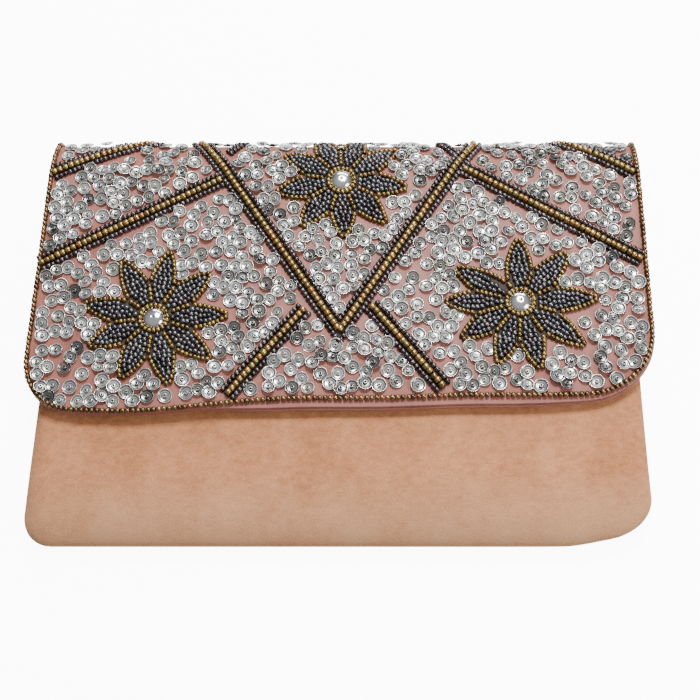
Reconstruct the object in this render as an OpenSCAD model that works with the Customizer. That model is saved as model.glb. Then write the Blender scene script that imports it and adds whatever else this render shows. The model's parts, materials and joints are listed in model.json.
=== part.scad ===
// Evening bag: a stiffened velvet envelope clutch with a beaded satin flap and a magnetic snap.
// It lies closed on its back panel: +X across the width, +Y from the bottom seam to the top
// fold, +Z up and out of the flap. The origin is the middle of the footprint, on the surface
// that the back panel rests on. Sizes are in millimetres and angles in degrees.

/* [Body] */
// Width across the bottom, side seam to side seam
bag_w = 243; // [204:1:310]
// Height from the bottom seam to the crest of the top fold
bag_h = 172; // [146:1:210]
// Thickness of the closed bag, without its beads
bag_t = 19; // [17.5:0.5:26]
// How much narrower the body is at its mouth
body_taper = 5; // [0:0.5:10]
// Radius of the body's bottom corners
body_corner_r = 11.5; // [6:0.5:20]
// Turn of the rolled bottom edge, on each side of the seam
belly_turn = 45; // [30:1:55]
// Height of the bottom seam above the table
seam_z = 6.4; // [5:0.1:7.5]
// Distance of the mouth below the crest of the fold
mouth_drop = 24; // [20:1:40]
// Depth of the facing turned in at the mouth
facing_h = 18; // [10:1:30]

/* [Fold] */
// Radius of the tight part of the top fold
fold_r = 5.5; // [5:0.5:7.5]
// Turn of the shallow shoulder on each side of the fold
shoulder_turn = 30; // [25:1:35]
// Angle from the crest to the first and the last crease line
crease_turn = 40; // [35:1:45]
// Angle below the crest where the velvet back meets the beaded satin
yoke_turn = 78; // [70:1:85]

/* [Cloth and boards] */
// Thickness of the face cloth, velvet or backed satin
face_t = 0.8; // [0.5:0.1:1]
// Thickness of the stiffener boards
board_t = 1; // [0.7:0.1:1.3]
// Thickness of the lining cloth
lining_t = 0.5; // [0.3:0.1:0.7]
// How far the body's boards stop short of the panel edges
board_inset = 9; // [6:0.5:14]
// How far the body's linings stop short of the panel edges
lining_inset = 3; // [2:0.5:5]
// How far the flap's board stops short of its edges
flap_board_inset = 3; // [2:0.5:6]
// Clearance between pieces that move past each other
run_gap = 0.3; // [0.2:0.05:0.5]

/* [Flap] */
// Width of the flap at its widest
flap_w = 249; // [210:1:320]
// How much narrower the flap is at the fold
flap_taper = 3; // [0:0.5:8]
// Distance from the crest of the fold to the lower edge, at the left
flap_drop_left = 123; // [104:1:132]
// Distance from the crest of the fold to the lower edge, at the right
flap_drop_right = 117.5; // [104:0.5:132]
// Radius of the flap's lower corners
flap_corner_r = 25; // [15:1:34]

/* [Beadwork] */
// Thickness of the large beads in the rows
gold_bead = 2.5; // [2:0.1:3]
// Thickness of the small seed beads
seed_bead = 1.9; // [1.2:0.1:2]
// Height of the beadwork above the satin
bead_h = 2; // [1.5:0.1:2.5]
// Height of the sequin layer above the satin
sequin_h = 0.8; // [0.5:0.1:1.2]
// Distance of the edge row from the side edges
rim_inset = 0.4; // [0.2:0.1:2]
// Extra distance of the edge row from the lower edge, at the right
rim_lip = 2.9; // [0:0.1:4]
// Clear space between one bead row or field and the next
bead_gap = 0.2; // [0.1:0.05:0.4]
// Distance from the crest of the fold to the point of the chevron
chevron_drop = 88; // [77:1:91]
// Distance of the chevron's left arm from the middle, at the fold
chevron_left = 62; // [48:1:66]
// Distance of the chevron's right arm from the middle, at the fold
chevron_right = 55.5; // [48:0.5:66]
// Reach of the flower petals from the flower's centre
petal_l = 29.5; // [25:0.5:30.5]
// Half the width of a petal at its widest
petal_half_w = 5.5; // [4.2:0.1:5.8]
// Radius of the domed stone in each flower
stone_r = 3.9; // [3:0.1:4.5]
// Height of the domed stones
stone_h = 2.9; // [2:0.1:4]

/* [Snap] */
// Diameter of the magnetic snap
snap_d = 16; // [12:0.5:18]
// Height of the snap's socket half
socket_h = 2.3; // [1.8:0.1:3]
// Height of the snap's stud plate
stud_h = 1.3; // [1:0.1:2]
// Diameter of the stud's post
post_d = 4; // [3:0.1:5]
// How far the post reaches into the socket
post_h = 1.7; // [1:0.1:1.7]
// Diameter of the snap's rivets
rivet_d = 3; // [2:0.1:3.5]
// Distance of the snap above the flap's lower edge, in the middle
snap_rise = 20; // [14:1:40]

/* [Pocket] */
// Width of the slip pocket in the lining
pocket_w = 124; // [80:1:150]
// Height of the slip pocket
pocket_h = 84; // [50:1:90]
// Height of the binding along the pocket's mouth
binding_h = 6; // [4:0.5:10]

/* [Hidden] */
$fn = 48;

BLUSH_VELVET = "#c49a80";
BLUSH_SATIN = "#c08279";
BLUSH_LINING = "#b98a7c";
BOARD_GREY = "#b9b4a8";
GOLD = "#a5782c";
GUNMETAL = "#4c4d4f";
SILVER = "#c9cacc";
SEQUIN = "#b9bbbb";

// Steps in one rounded corner or rolled edge, and facets in the side view of the fold
CORNER_STEPS = 8;
NOSE_CELLS = 12;
SHOULDER_CELLS = 6;
// Petals in one flower
PETALS = 9;
// Larger than anything, for cutting shapes
FAR = 400;
EPS = 0.01;

stack_t = face_t + board_t + lining_t;
lining_in = face_t + board_t;
line_w = gold_bead + 2 * seed_bead;

// Side view of the fold: the crest is the bag's highest point in Y
low_y = -(bag_h + bead_h) / 2;
fold_y = low_y + bag_h;
nose_turn = 90 - shoulder_turn;
nose_y = fold_y - fold_r;
shoulder_r = (bag_t / 2 - fold_r * sin(nose_turn)) / (1 - sin(nose_turn));
shoulder_y = nose_y - (shoulder_r - fold_r) * cos(nose_turn);

// Side view of the front panel, which hangs under the flap by the snap's height
flap_gap = socket_h + stud_h + run_gap / 3;
front_z = bag_t - stack_t - flap_gap;
mouth_y = fold_y - mouth_drop;
front_belly_r = (front_z - seam_z - run_gap / 2) / (1 - cos(belly_turn));
back_belly_r = (seam_z - run_gap / 2) / (1 - cos(belly_turn));

// Plan of the flap
left_y = fold_y - flap_drop_left;
right_y = fold_y - flap_drop_right;
flap_mid_y = (left_y + right_y) / 2;
snap_y = flap_mid_y + snap_rise;
chevron_tip = [0, fold_y - chevron_drop];
chevron_l = [-chevron_left, fold_y];
chevron_r = [chevron_right, fold_y];
long_l = [[-flap_w / 2, fold_y - 59], between(chevron_l, chevron_tip, 0.23)];
long_r = [[flap_w / 2, fold_y - 55.5], between(chevron_r, chevron_tip, 0.17)];
corner_l = [[-flap_w / 2, fold_y - 17], [-87, fold_y + bead_h]];
corner_r = [[flap_w / 2, fold_y - 16], [90, fold_y + bead_h]];
stub_l = [between(chevron_l, chevron_tip, 0.9), [-48, left_y]];
stub_r = [between(chevron_r, chevron_tip, 0.88), [47, right_y]];
flower_l = [-74, fold_y - 82.5];
flower_r = [72.5, fold_y - 75];
flower_t = [0, fold_y - 21];
flower_l_turn = 1;
flower_r_turn = 8;
flower_t_turn = 30;

// ---- Curves and outlines ----

function between(a, b, k) = a + (b - a) * k;

function arc(centre, r, a0, a1, steps = CORNER_STEPS) =
  [for (i = [0 : steps]) centre + r * [cos(a0 + (a1 - a0) * i / steps), sin(a0 + (a1 - a0) * i / steps)]];

// Side view point on the folded panel: turn is the angle of its outward normal from +Y,
// depth is the distance inward from the outer face
function fold_point(turn, depth) =
  abs(turn) <= nose_turn
    ? [nose_y + (fold_r - depth) * cos(turn), bag_t / 2 + (fold_r - depth) * sin(turn)]
    : [shoulder_y + (shoulder_r - depth) * cos(turn),
       (turn > 0 ? bag_t - shoulder_r : shoulder_r) + (shoulder_r - depth) * sin(turn)];

// Turns at which every layer has a vertex, so that layers meet face to face
FOLD_TURNS = concat(
  [for (i = [0 : SHOULDER_CELLS - 1]) -90 + shoulder_turn * i / SHOULDER_CELLS],
  [for (i = [-NOSE_CELLS : NOSE_CELLS]) nose_turn * i / NOSE_CELLS],
  [for (i = [1 : SHOULDER_CELLS]) nose_turn + shoulder_turn * i / SHOULDER_CELLS]
);

// Point on the facet that holds the given turn
function facet_point(turn, depth) =
  let (
    k = [for (i = [0 : len(FOLD_TURNS) - 2]) if (FOLD_TURNS[i + 1] >= turn - EPS) i][0],
    a = FOLD_TURNS[k], b = FOLD_TURNS[k + 1]
  )
  between(fold_point(a, depth), fold_point(b, depth), (turn - a) / (b - a));

function fold_run(a0, a1, depth) = concat(
  [facet_point(a0, depth)],
  [for (t = FOLD_TURNS) if (t > a0 + EPS && t < a1 - EPS) fold_point(t, depth)],
  [facet_point(a1, depth)]
);

// Side view point on the rolled bottom edge; up is 1 on the front panel and -1 on the back
function belly_run(centre, r, depth, up) =
  arc(centre, r - depth, up * (90 + belly_turn), up * 90);

function reversed(list) = [for (i = [len(list) - 1 : -1 : 0]) list[i]];

// Outline with a straight top, straight sides that spread downward and two round corners
function tab(top_w, low_w, top_y, l_y, r_y, r) = concat(
  [[-top_w / 2, top_y]],
  arc([-low_w / 2 + r, l_y + r], r, 180, 270),
  arc([low_w / 2 - r, r_y + r], r, 270, 360),
  [[top_w / 2, top_y]]
);

function flap_plan(inset, lip = 0) = tab(
  flap_w - flap_taper - 2 * inset, flap_w - 2 * inset, fold_y + FAR / 8,
  left_y + inset, right_y + inset + lip, flap_corner_r - inset
);

function body_plan(inset) = tab(
  bag_w - body_taper - 2 * inset, bag_w - 2 * inset, fold_y + FAR / 8,
  low_y + inset, low_y + inset, body_corner_r - min(inset, body_corner_r / 2)
);

// A straight row of the given width, from a to b
function row(a, b, w) =
  let (d = (b - a) / norm(b - a), n = [-d[1], d[0]] * w / 2)
  [a + n, b + n, b - n, a - n];

// ---- Solids made from those ----

// Runs a side view outline across the whole width
module across(w = FAR) {
  translate([-w / 2, 0, 0]) rotate([90, 0, 90]) linear_extrude(w) children();
}

module prism(points) {
  translate([0, 0, -FAR / 8]) linear_extrude(FAR) polygon(points);
}

module fold_band(a0, a1, d0, d1, w = FAR) {
  across(w) polygon(concat(fold_run(a0, a1, d0), reversed(fold_run(a0, a1, d1))));
}

// The folded panel from turn a0 on round to its flat part, which runs on to tail_y
module flap_band(a0, d0, d1, tail_y) {
  across() polygon(concat(
    fold_run(a0, 90, d0), [[tail_y, bag_t - d0]], [[tail_y, bag_t - d1]],
    reversed(fold_run(a0, 90, d1))
  ));
}

// The back panel between depths d0 and d1, from the bottom seam up to turn a1 of the fold
module back_band(a1, d0, d1, inset = 0) {
  centre = [low_y + back_belly_r * sin(belly_turn), back_belly_r];
  intersection() {
    across() polygon(concat(
      belly_run(centre, back_belly_r, d0, -1), fold_run(-90, a1, d0),
      reversed(fold_run(-90, a1, d1)), reversed(belly_run(centre, back_belly_r, d1, -1))
    ));
    prism(body_plan(inset));
    union() {
      translate([-FAR / 2, -FAR, -FAR]) cube([FAR, FAR, FAR + seam_z - run_gap / 2]);
      translate([-FAR / 2, 0, -FAR]) cube([FAR, FAR, 2 * FAR]);
    }
  }
}

// The front panel between depths d0 and d1, from y0 up to y1
module front_band(y0, y1, d0, d1, inset = 0) {
  centre = [low_y + front_belly_r * sin(belly_turn), front_z - front_belly_r];
  intersection() {
    across() polygon(concat(
      belly_run(centre, front_belly_r, d0, 1), [[mouth_y, front_z - d0]],
      [[mouth_y, front_z - d1]], reversed(belly_run(centre, front_belly_r, d1, 1))
    ));
    prism(body_plan(inset));
    translate([-FAR / 2, y0, seam_z + run_gap / 2]) cube([FAR, y1 - y0, FAR]);
  }
}

// Cuts a plan shape out of a layer of beadwork that follows the flap
module on_flap(h0, h1) {
  intersection() {
    flap_band(crease_turn + bead_cut, -h1, -h0, left_y - flap_w / 2);
    translate([0, 0, -FAR / 8]) linear_extrude(FAR) children();
  }
}

// Cuts a plan shape out of a layer of beadwork between two turns of the fold
module on_fold(a0, a1, h1) {
  intersection() {
    fold_band(a0, a1, -h1, 0, flap_w - flap_taper - 2 * rim_inset);
    translate([0, 0, -FAR / 8]) linear_extrude(FAR) children();
  }
}

// Angles cut back on each side of a crease line: cloth clears by run_gap, and beads,
// which stand outside the crease, clear by their height at the widest opening
cloth_cut = asin(run_gap / fold_r);
bead_cut = 10;

// ---- Plan shapes of the beadwork ----

module chevron_plan(w) {
  polygon(row(chevron_l, chevron_tip, w));
  polygon(row(chevron_r, chevron_tip, w));
}

// Everything that keeps sequins and lesser rows away: the rows in their full width
module rim_clear() {
  polygon(flap_plan(rim_inset + seed_bead + bead_gap, rim_lip));
}

module rows_plan(lines, w) {
  for (line = lines) polygon(row(line[0], line[1], w));
}

module below_fold() {
  translate([-FAR / 2, -FAR]) square([FAR, FAR + fold_y + EPS]);
}

// Gold core rows, kept inside the edge row and clear of the chevron
module gold_rows(lines) {
  difference() {
    intersection() {
      rows_plan(lines, gold_bead);
      rim_clear();
    }
    chevron_plan(line_w + 2 * bead_gap);
  }
}

module gunmetal_rows(lines) {
  difference() {
    intersection() {
      rows_plan(lines, line_w);
      rim_clear();
    }
    rows_plan(lines, gold_bead);
    chevron_plan(line_w + 2 * bead_gap);
  }
}

// One side of a petal at distances along it: half widths swell, then close to the point.
// Near the ring a petal fills its share of the circle, less the margin
function petal_side(base, tip, half, margin, side) = [
  for (k = [0 : 8]) let (u = k / 8, r = base + (tip - base) * u)
    [r, side * min(half * pow(sin(180 * (0.2 + 0.8 * u)), 0.7), r * tan(180 / PETALS) - margin)]
];

function petal(base, tip, half, margin) = concat(
  petal_side(base, tip, half, margin, 1), reversed(petal_side(base, tip, half, margin, -1))
);

ring_r = stone_r + bead_gap + seed_bead;
petal_base = ring_r + bead_gap;

module petals_plan(turn, base, tip, half, margin) {
  for (k = [1 : PETALS]) rotate(turn + 360 / PETALS * k) polygon(petal(base, tip, half, margin));
}

module petal_fill_plan(turn) {
  petals_plan(
    turn, petal_base + seed_bead, petal_l - 2 * seed_bead, petal_half_w - seed_bead,
    seed_bead / 2 + bead_gap
  );
}

module petal_outline_plan(turn) {
  difference() {
    petals_plan(turn, petal_base - seed_bead, petal_l, petal_half_w, -bead_gap);
    petals_plan(
      turn, petal_base + seed_bead - bead_gap, petal_l - 2 * seed_bead + bead_gap,
      petal_half_w - seed_bead + bead_gap, seed_bead / 2
    );
    circle(ring_r + bead_gap);
  }
}

module flower_clear(centre, turn) {
  translate(centre) {
    petals_plan(
      turn, petal_base - seed_bead, petal_l + 3 * bead_gap, petal_half_w + 2 * bead_gap,
      -2 * bead_gap
    );
    circle(ring_r + seed_bead);
  }
}

module sequin_field(corners) {
  difference() {
    intersection() {
      polygon(corners);
      polygon(flap_plan(rim_inset + seed_bead + 2 * bead_gap, rim_lip));
    }
    chevron_plan(line_w + 4 * bead_gap);
    rows_plan([long_l, long_r, corner_l, corner_r, stub_l, stub_r], line_w + 2 * bead_gap);
    flower_clear(flower_l, flower_l_turn);
    flower_clear(flower_r, flower_r_turn);
    flower_clear(flower_t, flower_t_turn);
  }
}

// ---- Back body ----

module back_velvet() {
  color(BLUSH_VELVET) back_band(-yoke_turn, 0, face_t);
}

module back_board() {
  color(BOARD_GREY) back_band(-nose_turn, face_t, lining_in, board_inset);
}

module back_lining() {
  color(BLUSH_LINING) intersection() {
    back_band(-nose_turn, lining_in, stack_t, lining_inset);
    translate([-FAR / 2, -FAR, -FAR]) cube([FAR, FAR + mouth_y - facing_h, 2 * FAR]);
  }
}

module back_facing() {
  color(BLUSH_SATIN) intersection() {
    back_band(-crease_turn - cloth_cut, lining_in, stack_t, lining_inset);
    translate([-FAR / 2, mouth_y - facing_h, -FAR]) cube([FAR, FAR, 2 * FAR]);
  }
}

module slip_pocket() {
  color(BLUSH_LINING)
  translate([-pocket_w / 2, pocket_top_y - pocket_h, stack_t])
    cube([pocket_w, pocket_h - binding_h, lining_t]);
}

module pocket_binding() {
  color(BLUSH_SATIN)
  translate([-pocket_w / 2, pocket_top_y - binding_h, stack_t])
    cube([pocket_w, binding_h, 2 * lining_t]);
}

pocket_top_y = mouth_y - facing_h - binding_h;

module back_yoke_satin() {
  color(BLUSH_SATIN)
  fold_band(-yoke_turn, -crease_turn - cloth_cut, 0, face_t, flap_w - flap_taper);
}

module back_yoke_beads() {
  color(GUNMETAL) on_fold(-yoke_turn + bead_cut / 2, -crease_turn - bead_cut, bead_h)
    fold_rows_plan();
}

// The rows that run on over the crest and down to the yoke, and the ends of the edge row
module fold_rows_plan() {
  row_x = [corner_l[1][0], -chevron_left, 20 - chevron_left, chevron_right - 15, chevron_right, corner_r[1][0]];
  for (x = row_x) translate([x - line_w / 2, 0]) square([line_w, FAR]);
  for (side = [-1, 1])
    translate([side * (flap_w - flap_taper - 2 * rim_inset - seed_bead) / 2 - seed_bead / 2, 0])
      square([seed_bead, FAR]);
}

// A side gusset folded in like a bellows between the front and the back linings
module gusset(side) {
  outer_x = (bag_w - body_taper) / 2 - lining_inset;
  fold_x = outer_x - gusset_depth;
  z0 = stack_t + run_gap;
  z1 = front_z - stack_t - run_gap;
  zm = (z0 + z1) / 2;
  t = lining_t;
  y0 = low_y + front_belly_r;
  color(BLUSH_LINING)
  translate([0, mouth_y - run_gap, 0]) rotate([90, 0, 0]) linear_extrude(mouth_y - run_gap - y0)
    polygon([
      [side * outer_x, z0], [side * fold_x, zm], [side * outer_x, z1],
      [side * outer_x, z1 - t], [side * (fold_x + 3 * t), zm], [side * outer_x, z0 + t]
    ]);
}

gusset_depth = 12;

module gusset_left() {
  gusset(-1);
}

module gusset_right() {
  gusset(1);
}

// ---- Front body ----

module rivet_hole(z0, z1, d) {
  translate([0, snap_y, z0]) cylinder(h = z1 - z0, d = d);
}

module front_velvet() {
  color(BLUSH_VELVET) difference() {
    front_band(-FAR, mouth_y, 0, face_t);
    rivet_hole(front_z - face_t - EPS, front_z + EPS, rivet_d + run_gap / 2);
  }
}

module front_board() {
  color(BOARD_GREY) difference() {
    front_band(-FAR, mouth_y - lining_inset, face_t, lining_in, board_inset);
    rivet_hole(front_z - lining_in - EPS, front_z, rivet_d + run_gap / 2);
    rivet_hole(front_z - lining_in - EPS, front_z - lining_in + washer_t, washer_d + run_gap);
  }
}

module front_lining() {
  color(BLUSH_LINING)
  front_band(-FAR, mouth_y - facing_h, lining_in, stack_t, lining_inset);
}

module front_facing() {
  color(BLUSH_VELVET)
  front_band(mouth_y - facing_h, mouth_y, lining_in, stack_t, lining_inset);
}

// The socket is a cap with a magnet in it, riveted through the front panel to a washer
cap_t = 0.3;
washer_t = 0.5;
washer_d = snap_d - 4;
bore_d = post_d + 2 * run_gap;

module snap_socket() {
  color(SILVER) translate([0, snap_y, front_z]) difference() {
    cylinder(h = socket_h, d = snap_d);
    translate([0, 0, cap_t]) cylinder(h = socket_h - 2 * cap_t, d = snap_d - 2 * cap_t);
    translate([0, 0, cap_t]) cylinder(h = socket_h, d = bore_d);
  }
}

module snap_magnet() {
  color(GUNMETAL) translate([0, snap_y, front_z + cap_t]) difference() {
    cylinder(h = socket_h - 2 * cap_t, d = snap_d - 2 * cap_t);
    translate([0, 0, -EPS]) cylinder(h = socket_h, d = bore_d);
  }
}

module snap_socket_washer() {
  color(SILVER) {
    rivet_hole(front_z - lining_in + washer_t - EPS, front_z, rivet_d);
    rivet_hole(front_z - lining_in, front_z - lining_in + washer_t, washer_d);
  }
}

// ---- The two strips between the creases ----

module fold_lower_satin() {
  color(BLUSH_SATIN)
  fold_band(-crease_turn + cloth_cut, -cloth_cut, 0, face_t, flap_w - flap_taper);
}

module fold_lower_felt() {
  color(BOARD_GREY)
  fold_band(-crease_turn + cloth_cut, -cloth_cut, face_t, lining_in, felt_w);
}

module fold_lower_lining() {
  color(BLUSH_LINING)
  fold_band(-crease_turn + cloth_cut, -cloth_cut, lining_in, stack_t, felt_w);
}

module fold_lower_beads() {
  color(GUNMETAL) on_fold(-crease_turn + bead_cut, -bead_cut, bead_h) fold_rows_plan();
}

module fold_upper_satin() {
  color(BLUSH_SATIN)
  fold_band(cloth_cut, crease_turn - cloth_cut, 0, face_t, flap_w - flap_taper);
}

module fold_upper_felt() {
  color(BOARD_GREY)
  fold_band(cloth_cut, crease_turn - cloth_cut, face_t, lining_in, felt_w);
}

module fold_upper_lining() {
  color(BLUSH_LINING)
  fold_band(cloth_cut, crease_turn - cloth_cut, lining_in, stack_t, felt_w);
}

module fold_upper_beads() {
  color(GUNMETAL) on_fold(bead_cut, crease_turn - bead_cut, bead_h) fold_rows_plan();
}

felt_w = flap_w - flap_taper - 2 * flap_board_inset;

// ---- Flap ----

module flap_layer(d0, d1, inset) {
  intersection() {
    flap_band(crease_turn + cloth_cut, d0, d1, left_y - flap_w / 2);
    prism(flap_plan(inset));
  }
}

module flap_satin() {
  color(BLUSH_SATIN) flap_layer(0, face_t, 0);
}

module flap_board() {
  color(BOARD_GREY) difference() {
    flap_layer(face_t, lining_in, flap_board_inset);
    rivet_hole(bag_t - lining_in - EPS, bag_t, rivet_d + run_gap / 2);
    rivet_hole(bag_t - face_t - washer_t, bag_t, washer_d + run_gap);
  }
}

module flap_lining() {
  color(BLUSH_LINING) difference() {
    flap_layer(lining_in, stack_t, 0);
    rivet_hole(bag_t - stack_t - EPS, bag_t, rivet_d + run_gap / 2);
  }
}

module snap_stud() {
  color(SILVER) {
    rivet_hole(bag_t - stack_t - stud_h, bag_t - stack_t, snap_d);
    rivet_hole(bag_t - stack_t - stud_h - post_h, bag_t - stack_t, post_d);
    rivet_hole(bag_t - stack_t - stud_h, bag_t - face_t - washer_t, rivet_d);
  }
}

module snap_stud_washer() {
  color(SILVER) rivet_hole(bag_t - face_t - washer_t, bag_t - face_t, washer_d);
}

// ---- Beadwork on the flap ----

module rim_beads() {
  color(GOLD) on_flap(0, bead_h) difference() {
    polygon(flap_plan(rim_inset, rim_lip));
    translate([0, EPS]) rim_inner();
  }
}

module rim_inner() {
  polygon(flap_plan(rim_inset + seed_bead, rim_lip));
}

module chevron_gold() {
  color(GOLD) on_flap(0, bead_h) chevron_plan(gold_bead);
}

module chevron_gunmetal() {
  color(GUNMETAL) on_flap(0, seed_bead) difference() {
    chevron_plan(line_w);
    chevron_plan(gold_bead);
  }
}

module long_lines_gold() {
  color(GOLD) on_flap(0, bead_h) gold_rows([long_l, long_r]);
}

module long_lines_gunmetal() {
  color(GUNMETAL) on_flap(0, seed_bead) gunmetal_rows([long_l, long_r]);
}

module corner_lines_gold() {
  color(GOLD) on_flap(0, bead_h) gold_rows([corner_l, corner_r]);
}

module corner_lines_gunmetal() {
  color(GUNMETAL) on_flap(0, seed_bead) gunmetal_rows([corner_l, corner_r]);
}

module stub_lines_gold() {
  color(GOLD) on_flap(0, bead_h) gold_rows([stub_l, stub_r]);
}

module stub_lines_gunmetal() {
  color(GUNMETAL) on_flap(0, seed_bead) gunmetal_rows([stub_l, stub_r]);
}

module flower_outline(centre, turn) {
  color(GOLD) on_flap(0, bead_h) translate(centre) petal_outline_plan(turn);
}

module flower_petals(centre, turn) {
  color(GUNMETAL) on_flap(0, seed_bead) translate(centre) petal_fill_plan(turn);
}

module flower_ring(centre) {
  color(GOLD) translate([centre[0], centre[1], bag_t]) difference() {
    cylinder(h = seed_bead, r = ring_r);
    translate([0, 0, -EPS]) cylinder(h = FAR, r = stone_r + bead_gap);
  }
}

module flower_stone(centre) {
  dome_r = (stone_r * stone_r + stone_h * stone_h) / (2 * stone_h);
  color(SILVER) translate([centre[0], centre[1], bag_t]) intersection() {
    translate([0, 0, stone_h - dome_r]) sphere(r = dome_r);
    cylinder(h = stone_h, r = stone_r + EPS);
  }
}

module flower_left_outline() { flower_outline(flower_l, flower_l_turn); }
module flower_left_petals() { flower_petals(flower_l, flower_l_turn); }
module flower_left_ring() { flower_ring(flower_l); }
module flower_left_stone() { flower_stone(flower_l); }
module flower_right_outline() { flower_outline(flower_r, flower_r_turn); }
module flower_right_petals() { flower_petals(flower_r, flower_r_turn); }
module flower_right_ring() { flower_ring(flower_r); }
module flower_right_stone() { flower_stone(flower_r); }
module flower_top_outline() { flower_outline(flower_t, flower_t_turn); }
module flower_top_petals() { flower_petals(flower_t, flower_t_turn); }
module flower_top_ring() { flower_ring(flower_t); }
module flower_top_stone() { flower_stone(flower_t); }

module sequins_centre() {
  color(SEQUIN) on_flap(0, sequin_h) sequin_field([chevron_l, chevron_tip, chevron_r]);
}

module sequins_lower() {
  color(SEQUIN) on_flap(0, sequin_h)
    sequin_field([chevron_tip, stub_l[0], stub_l[1], stub_r[1], stub_r[0]]);
}

module sequins_left() {
  color(SEQUIN) on_flap(0, sequin_h)
    sequin_field([
      long_l[0], long_l[1], chevron_tip, stub_l[0], stub_l[1], [-flap_w / 2, left_y]
    ]);
}

module sequins_right() {
  color(SEQUIN) on_flap(0, sequin_h)
    sequin_field([
      long_r[0], long_r[1], chevron_tip, stub_r[0], stub_r[1], [flap_w / 2, right_y]
    ]);
}

module sequins_left_band() {
  color(SEQUIN) on_flap(0, sequin_h)
    sequin_field([long_l[0], long_l[1], chevron_l, corner_l[1], corner_l[0]]);
}

module sequins_right_band() {
  color(SEQUIN) on_flap(0, sequin_h)
    sequin_field([long_r[0], long_r[1], chevron_r, corner_r[1], corner_r[0]]);
}

module sequins_corners() {
  color(SEQUIN) on_flap(0, sequin_h) {
    sequin_field([corner_l[0], corner_l[1], [-flap_w / 2, fold_y]]);
    sequin_field([corner_r[0], corner_r[1], [flap_w / 2, fold_y]]);
  }
}

back_velvet();
back_board();
back_lining();
back_facing();
slip_pocket();
pocket_binding();
back_yoke_satin();
back_yoke_beads();
gusset_left();
gusset_right();
front_velvet();
front_board();
front_lining();
front_facing();
snap_socket();
snap_magnet();
snap_socket_washer();
fold_lower_satin();
fold_lower_felt();
fold_lower_lining();
fold_lower_beads();
fold_upper_satin();
fold_upper_felt();
fold_upper_lining();
fold_upper_beads();
flap_satin();
flap_board();
flap_lining();
snap_stud();
snap_stud_washer();
rim_beads();
chevron_gold();
chevron_gunmetal();
long_lines_gold();
long_lines_gunmetal();
corner_lines_gold();
corner_lines_gunmetal();
stub_lines_gold();
stub_lines_gunmetal();
flower_left_outline();
flower_left_petals();
flower_left_ring();
flower_left_stone();
flower_right_outline();
flower_right_petals();
flower_right_ring();
flower_right_stone();
flower_top_outline();
flower_top_petals();
flower_top_ring();
flower_top_stone();
sequins_centre();
sequins_lower();
sequins_left();
sequins_right();
sequins_left_band();
sequins_right_band();
sequins_corners();
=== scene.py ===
import json
import math

import bpy
import numpy as np
from mathutils import Matrix, Vector


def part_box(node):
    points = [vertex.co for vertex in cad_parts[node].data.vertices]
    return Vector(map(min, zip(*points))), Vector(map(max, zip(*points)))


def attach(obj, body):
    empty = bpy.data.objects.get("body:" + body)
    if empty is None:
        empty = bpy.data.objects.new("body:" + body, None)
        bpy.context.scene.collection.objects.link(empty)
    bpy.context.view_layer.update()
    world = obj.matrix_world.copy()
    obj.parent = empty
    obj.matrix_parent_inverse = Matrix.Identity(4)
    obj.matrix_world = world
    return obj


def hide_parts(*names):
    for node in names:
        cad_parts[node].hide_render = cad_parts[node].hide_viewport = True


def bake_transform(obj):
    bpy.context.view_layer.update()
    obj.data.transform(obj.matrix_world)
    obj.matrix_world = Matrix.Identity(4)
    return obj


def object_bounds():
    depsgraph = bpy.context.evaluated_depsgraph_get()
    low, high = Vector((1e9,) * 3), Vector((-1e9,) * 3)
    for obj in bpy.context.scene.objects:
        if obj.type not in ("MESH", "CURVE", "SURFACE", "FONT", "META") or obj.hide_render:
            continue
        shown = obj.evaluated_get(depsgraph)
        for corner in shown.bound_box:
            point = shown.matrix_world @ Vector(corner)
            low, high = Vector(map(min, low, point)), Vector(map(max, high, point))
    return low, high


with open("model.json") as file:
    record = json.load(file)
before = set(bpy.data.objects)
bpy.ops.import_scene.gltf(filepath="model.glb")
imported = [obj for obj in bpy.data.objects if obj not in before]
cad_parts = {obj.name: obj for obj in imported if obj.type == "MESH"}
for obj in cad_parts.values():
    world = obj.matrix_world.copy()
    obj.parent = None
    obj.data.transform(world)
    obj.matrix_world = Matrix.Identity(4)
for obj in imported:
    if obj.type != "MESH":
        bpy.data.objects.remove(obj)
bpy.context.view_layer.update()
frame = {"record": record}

# An evening bag: a stiffened velvet body, and a beaded satin flap folded over its top edge.
# Places on the flap are (x, s): x across, s down the satin from the crest of the fold, and
# below zero behind the crest. Lengths are millimetres until a mesh is made.
MM = 0.001
SEED = 11


def cad_box(node):
    """Lower and upper corner of a node's box."""
    lo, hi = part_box(node)
    return np.array(lo) / MM, np.array(hi) / MM


JOINTS = {j["name"]: np.array(j["pos_m"]) / MM for j in frame["record"]["behaviour"]["joints"]}

# ---- Side view of the fold: a tight arc at the crest, then a wide arc to the flat ----
CREASE_TURN, NOSE_TURN, YOKE_TURN = (math.radians(turn) for turn in (40, 60, 78))
CREST_Y, MID_Z = JOINTS["crest_crease"][1:]
TOP_Z = 2 * MID_Z
FOLD_R = (JOINTS["upper_crease"][2] - MID_Z) / math.sin(CREASE_TURN)
NOSE_Y = CREST_Y - FOLD_R
SHOULDER_R = (MID_Z - FOLD_R * math.sin(NOSE_TURN)) / (1 - math.sin(NOSE_TURN))
SHOULDER_Y = NOSE_Y - (SHOULDER_R - FOLD_R) * math.cos(NOSE_TURN)
YOKE_MARGIN = 2.0  # where the rows that cross the fold stop short of the velvet
# Distances from the crest: half the middle band, the end of the tight arc, the flat, the velvet
S_STEP = FOLD_R * CREASE_TURN / 2
S_NOSE = FOLD_R * NOSE_TURN
S_FLAT = S_NOSE + SHOULDER_R * (math.pi / 2 - NOSE_TURN)
S_YOKE = -(S_NOSE + SHOULDER_R * (YOKE_TURN - NOSE_TURN))

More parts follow.
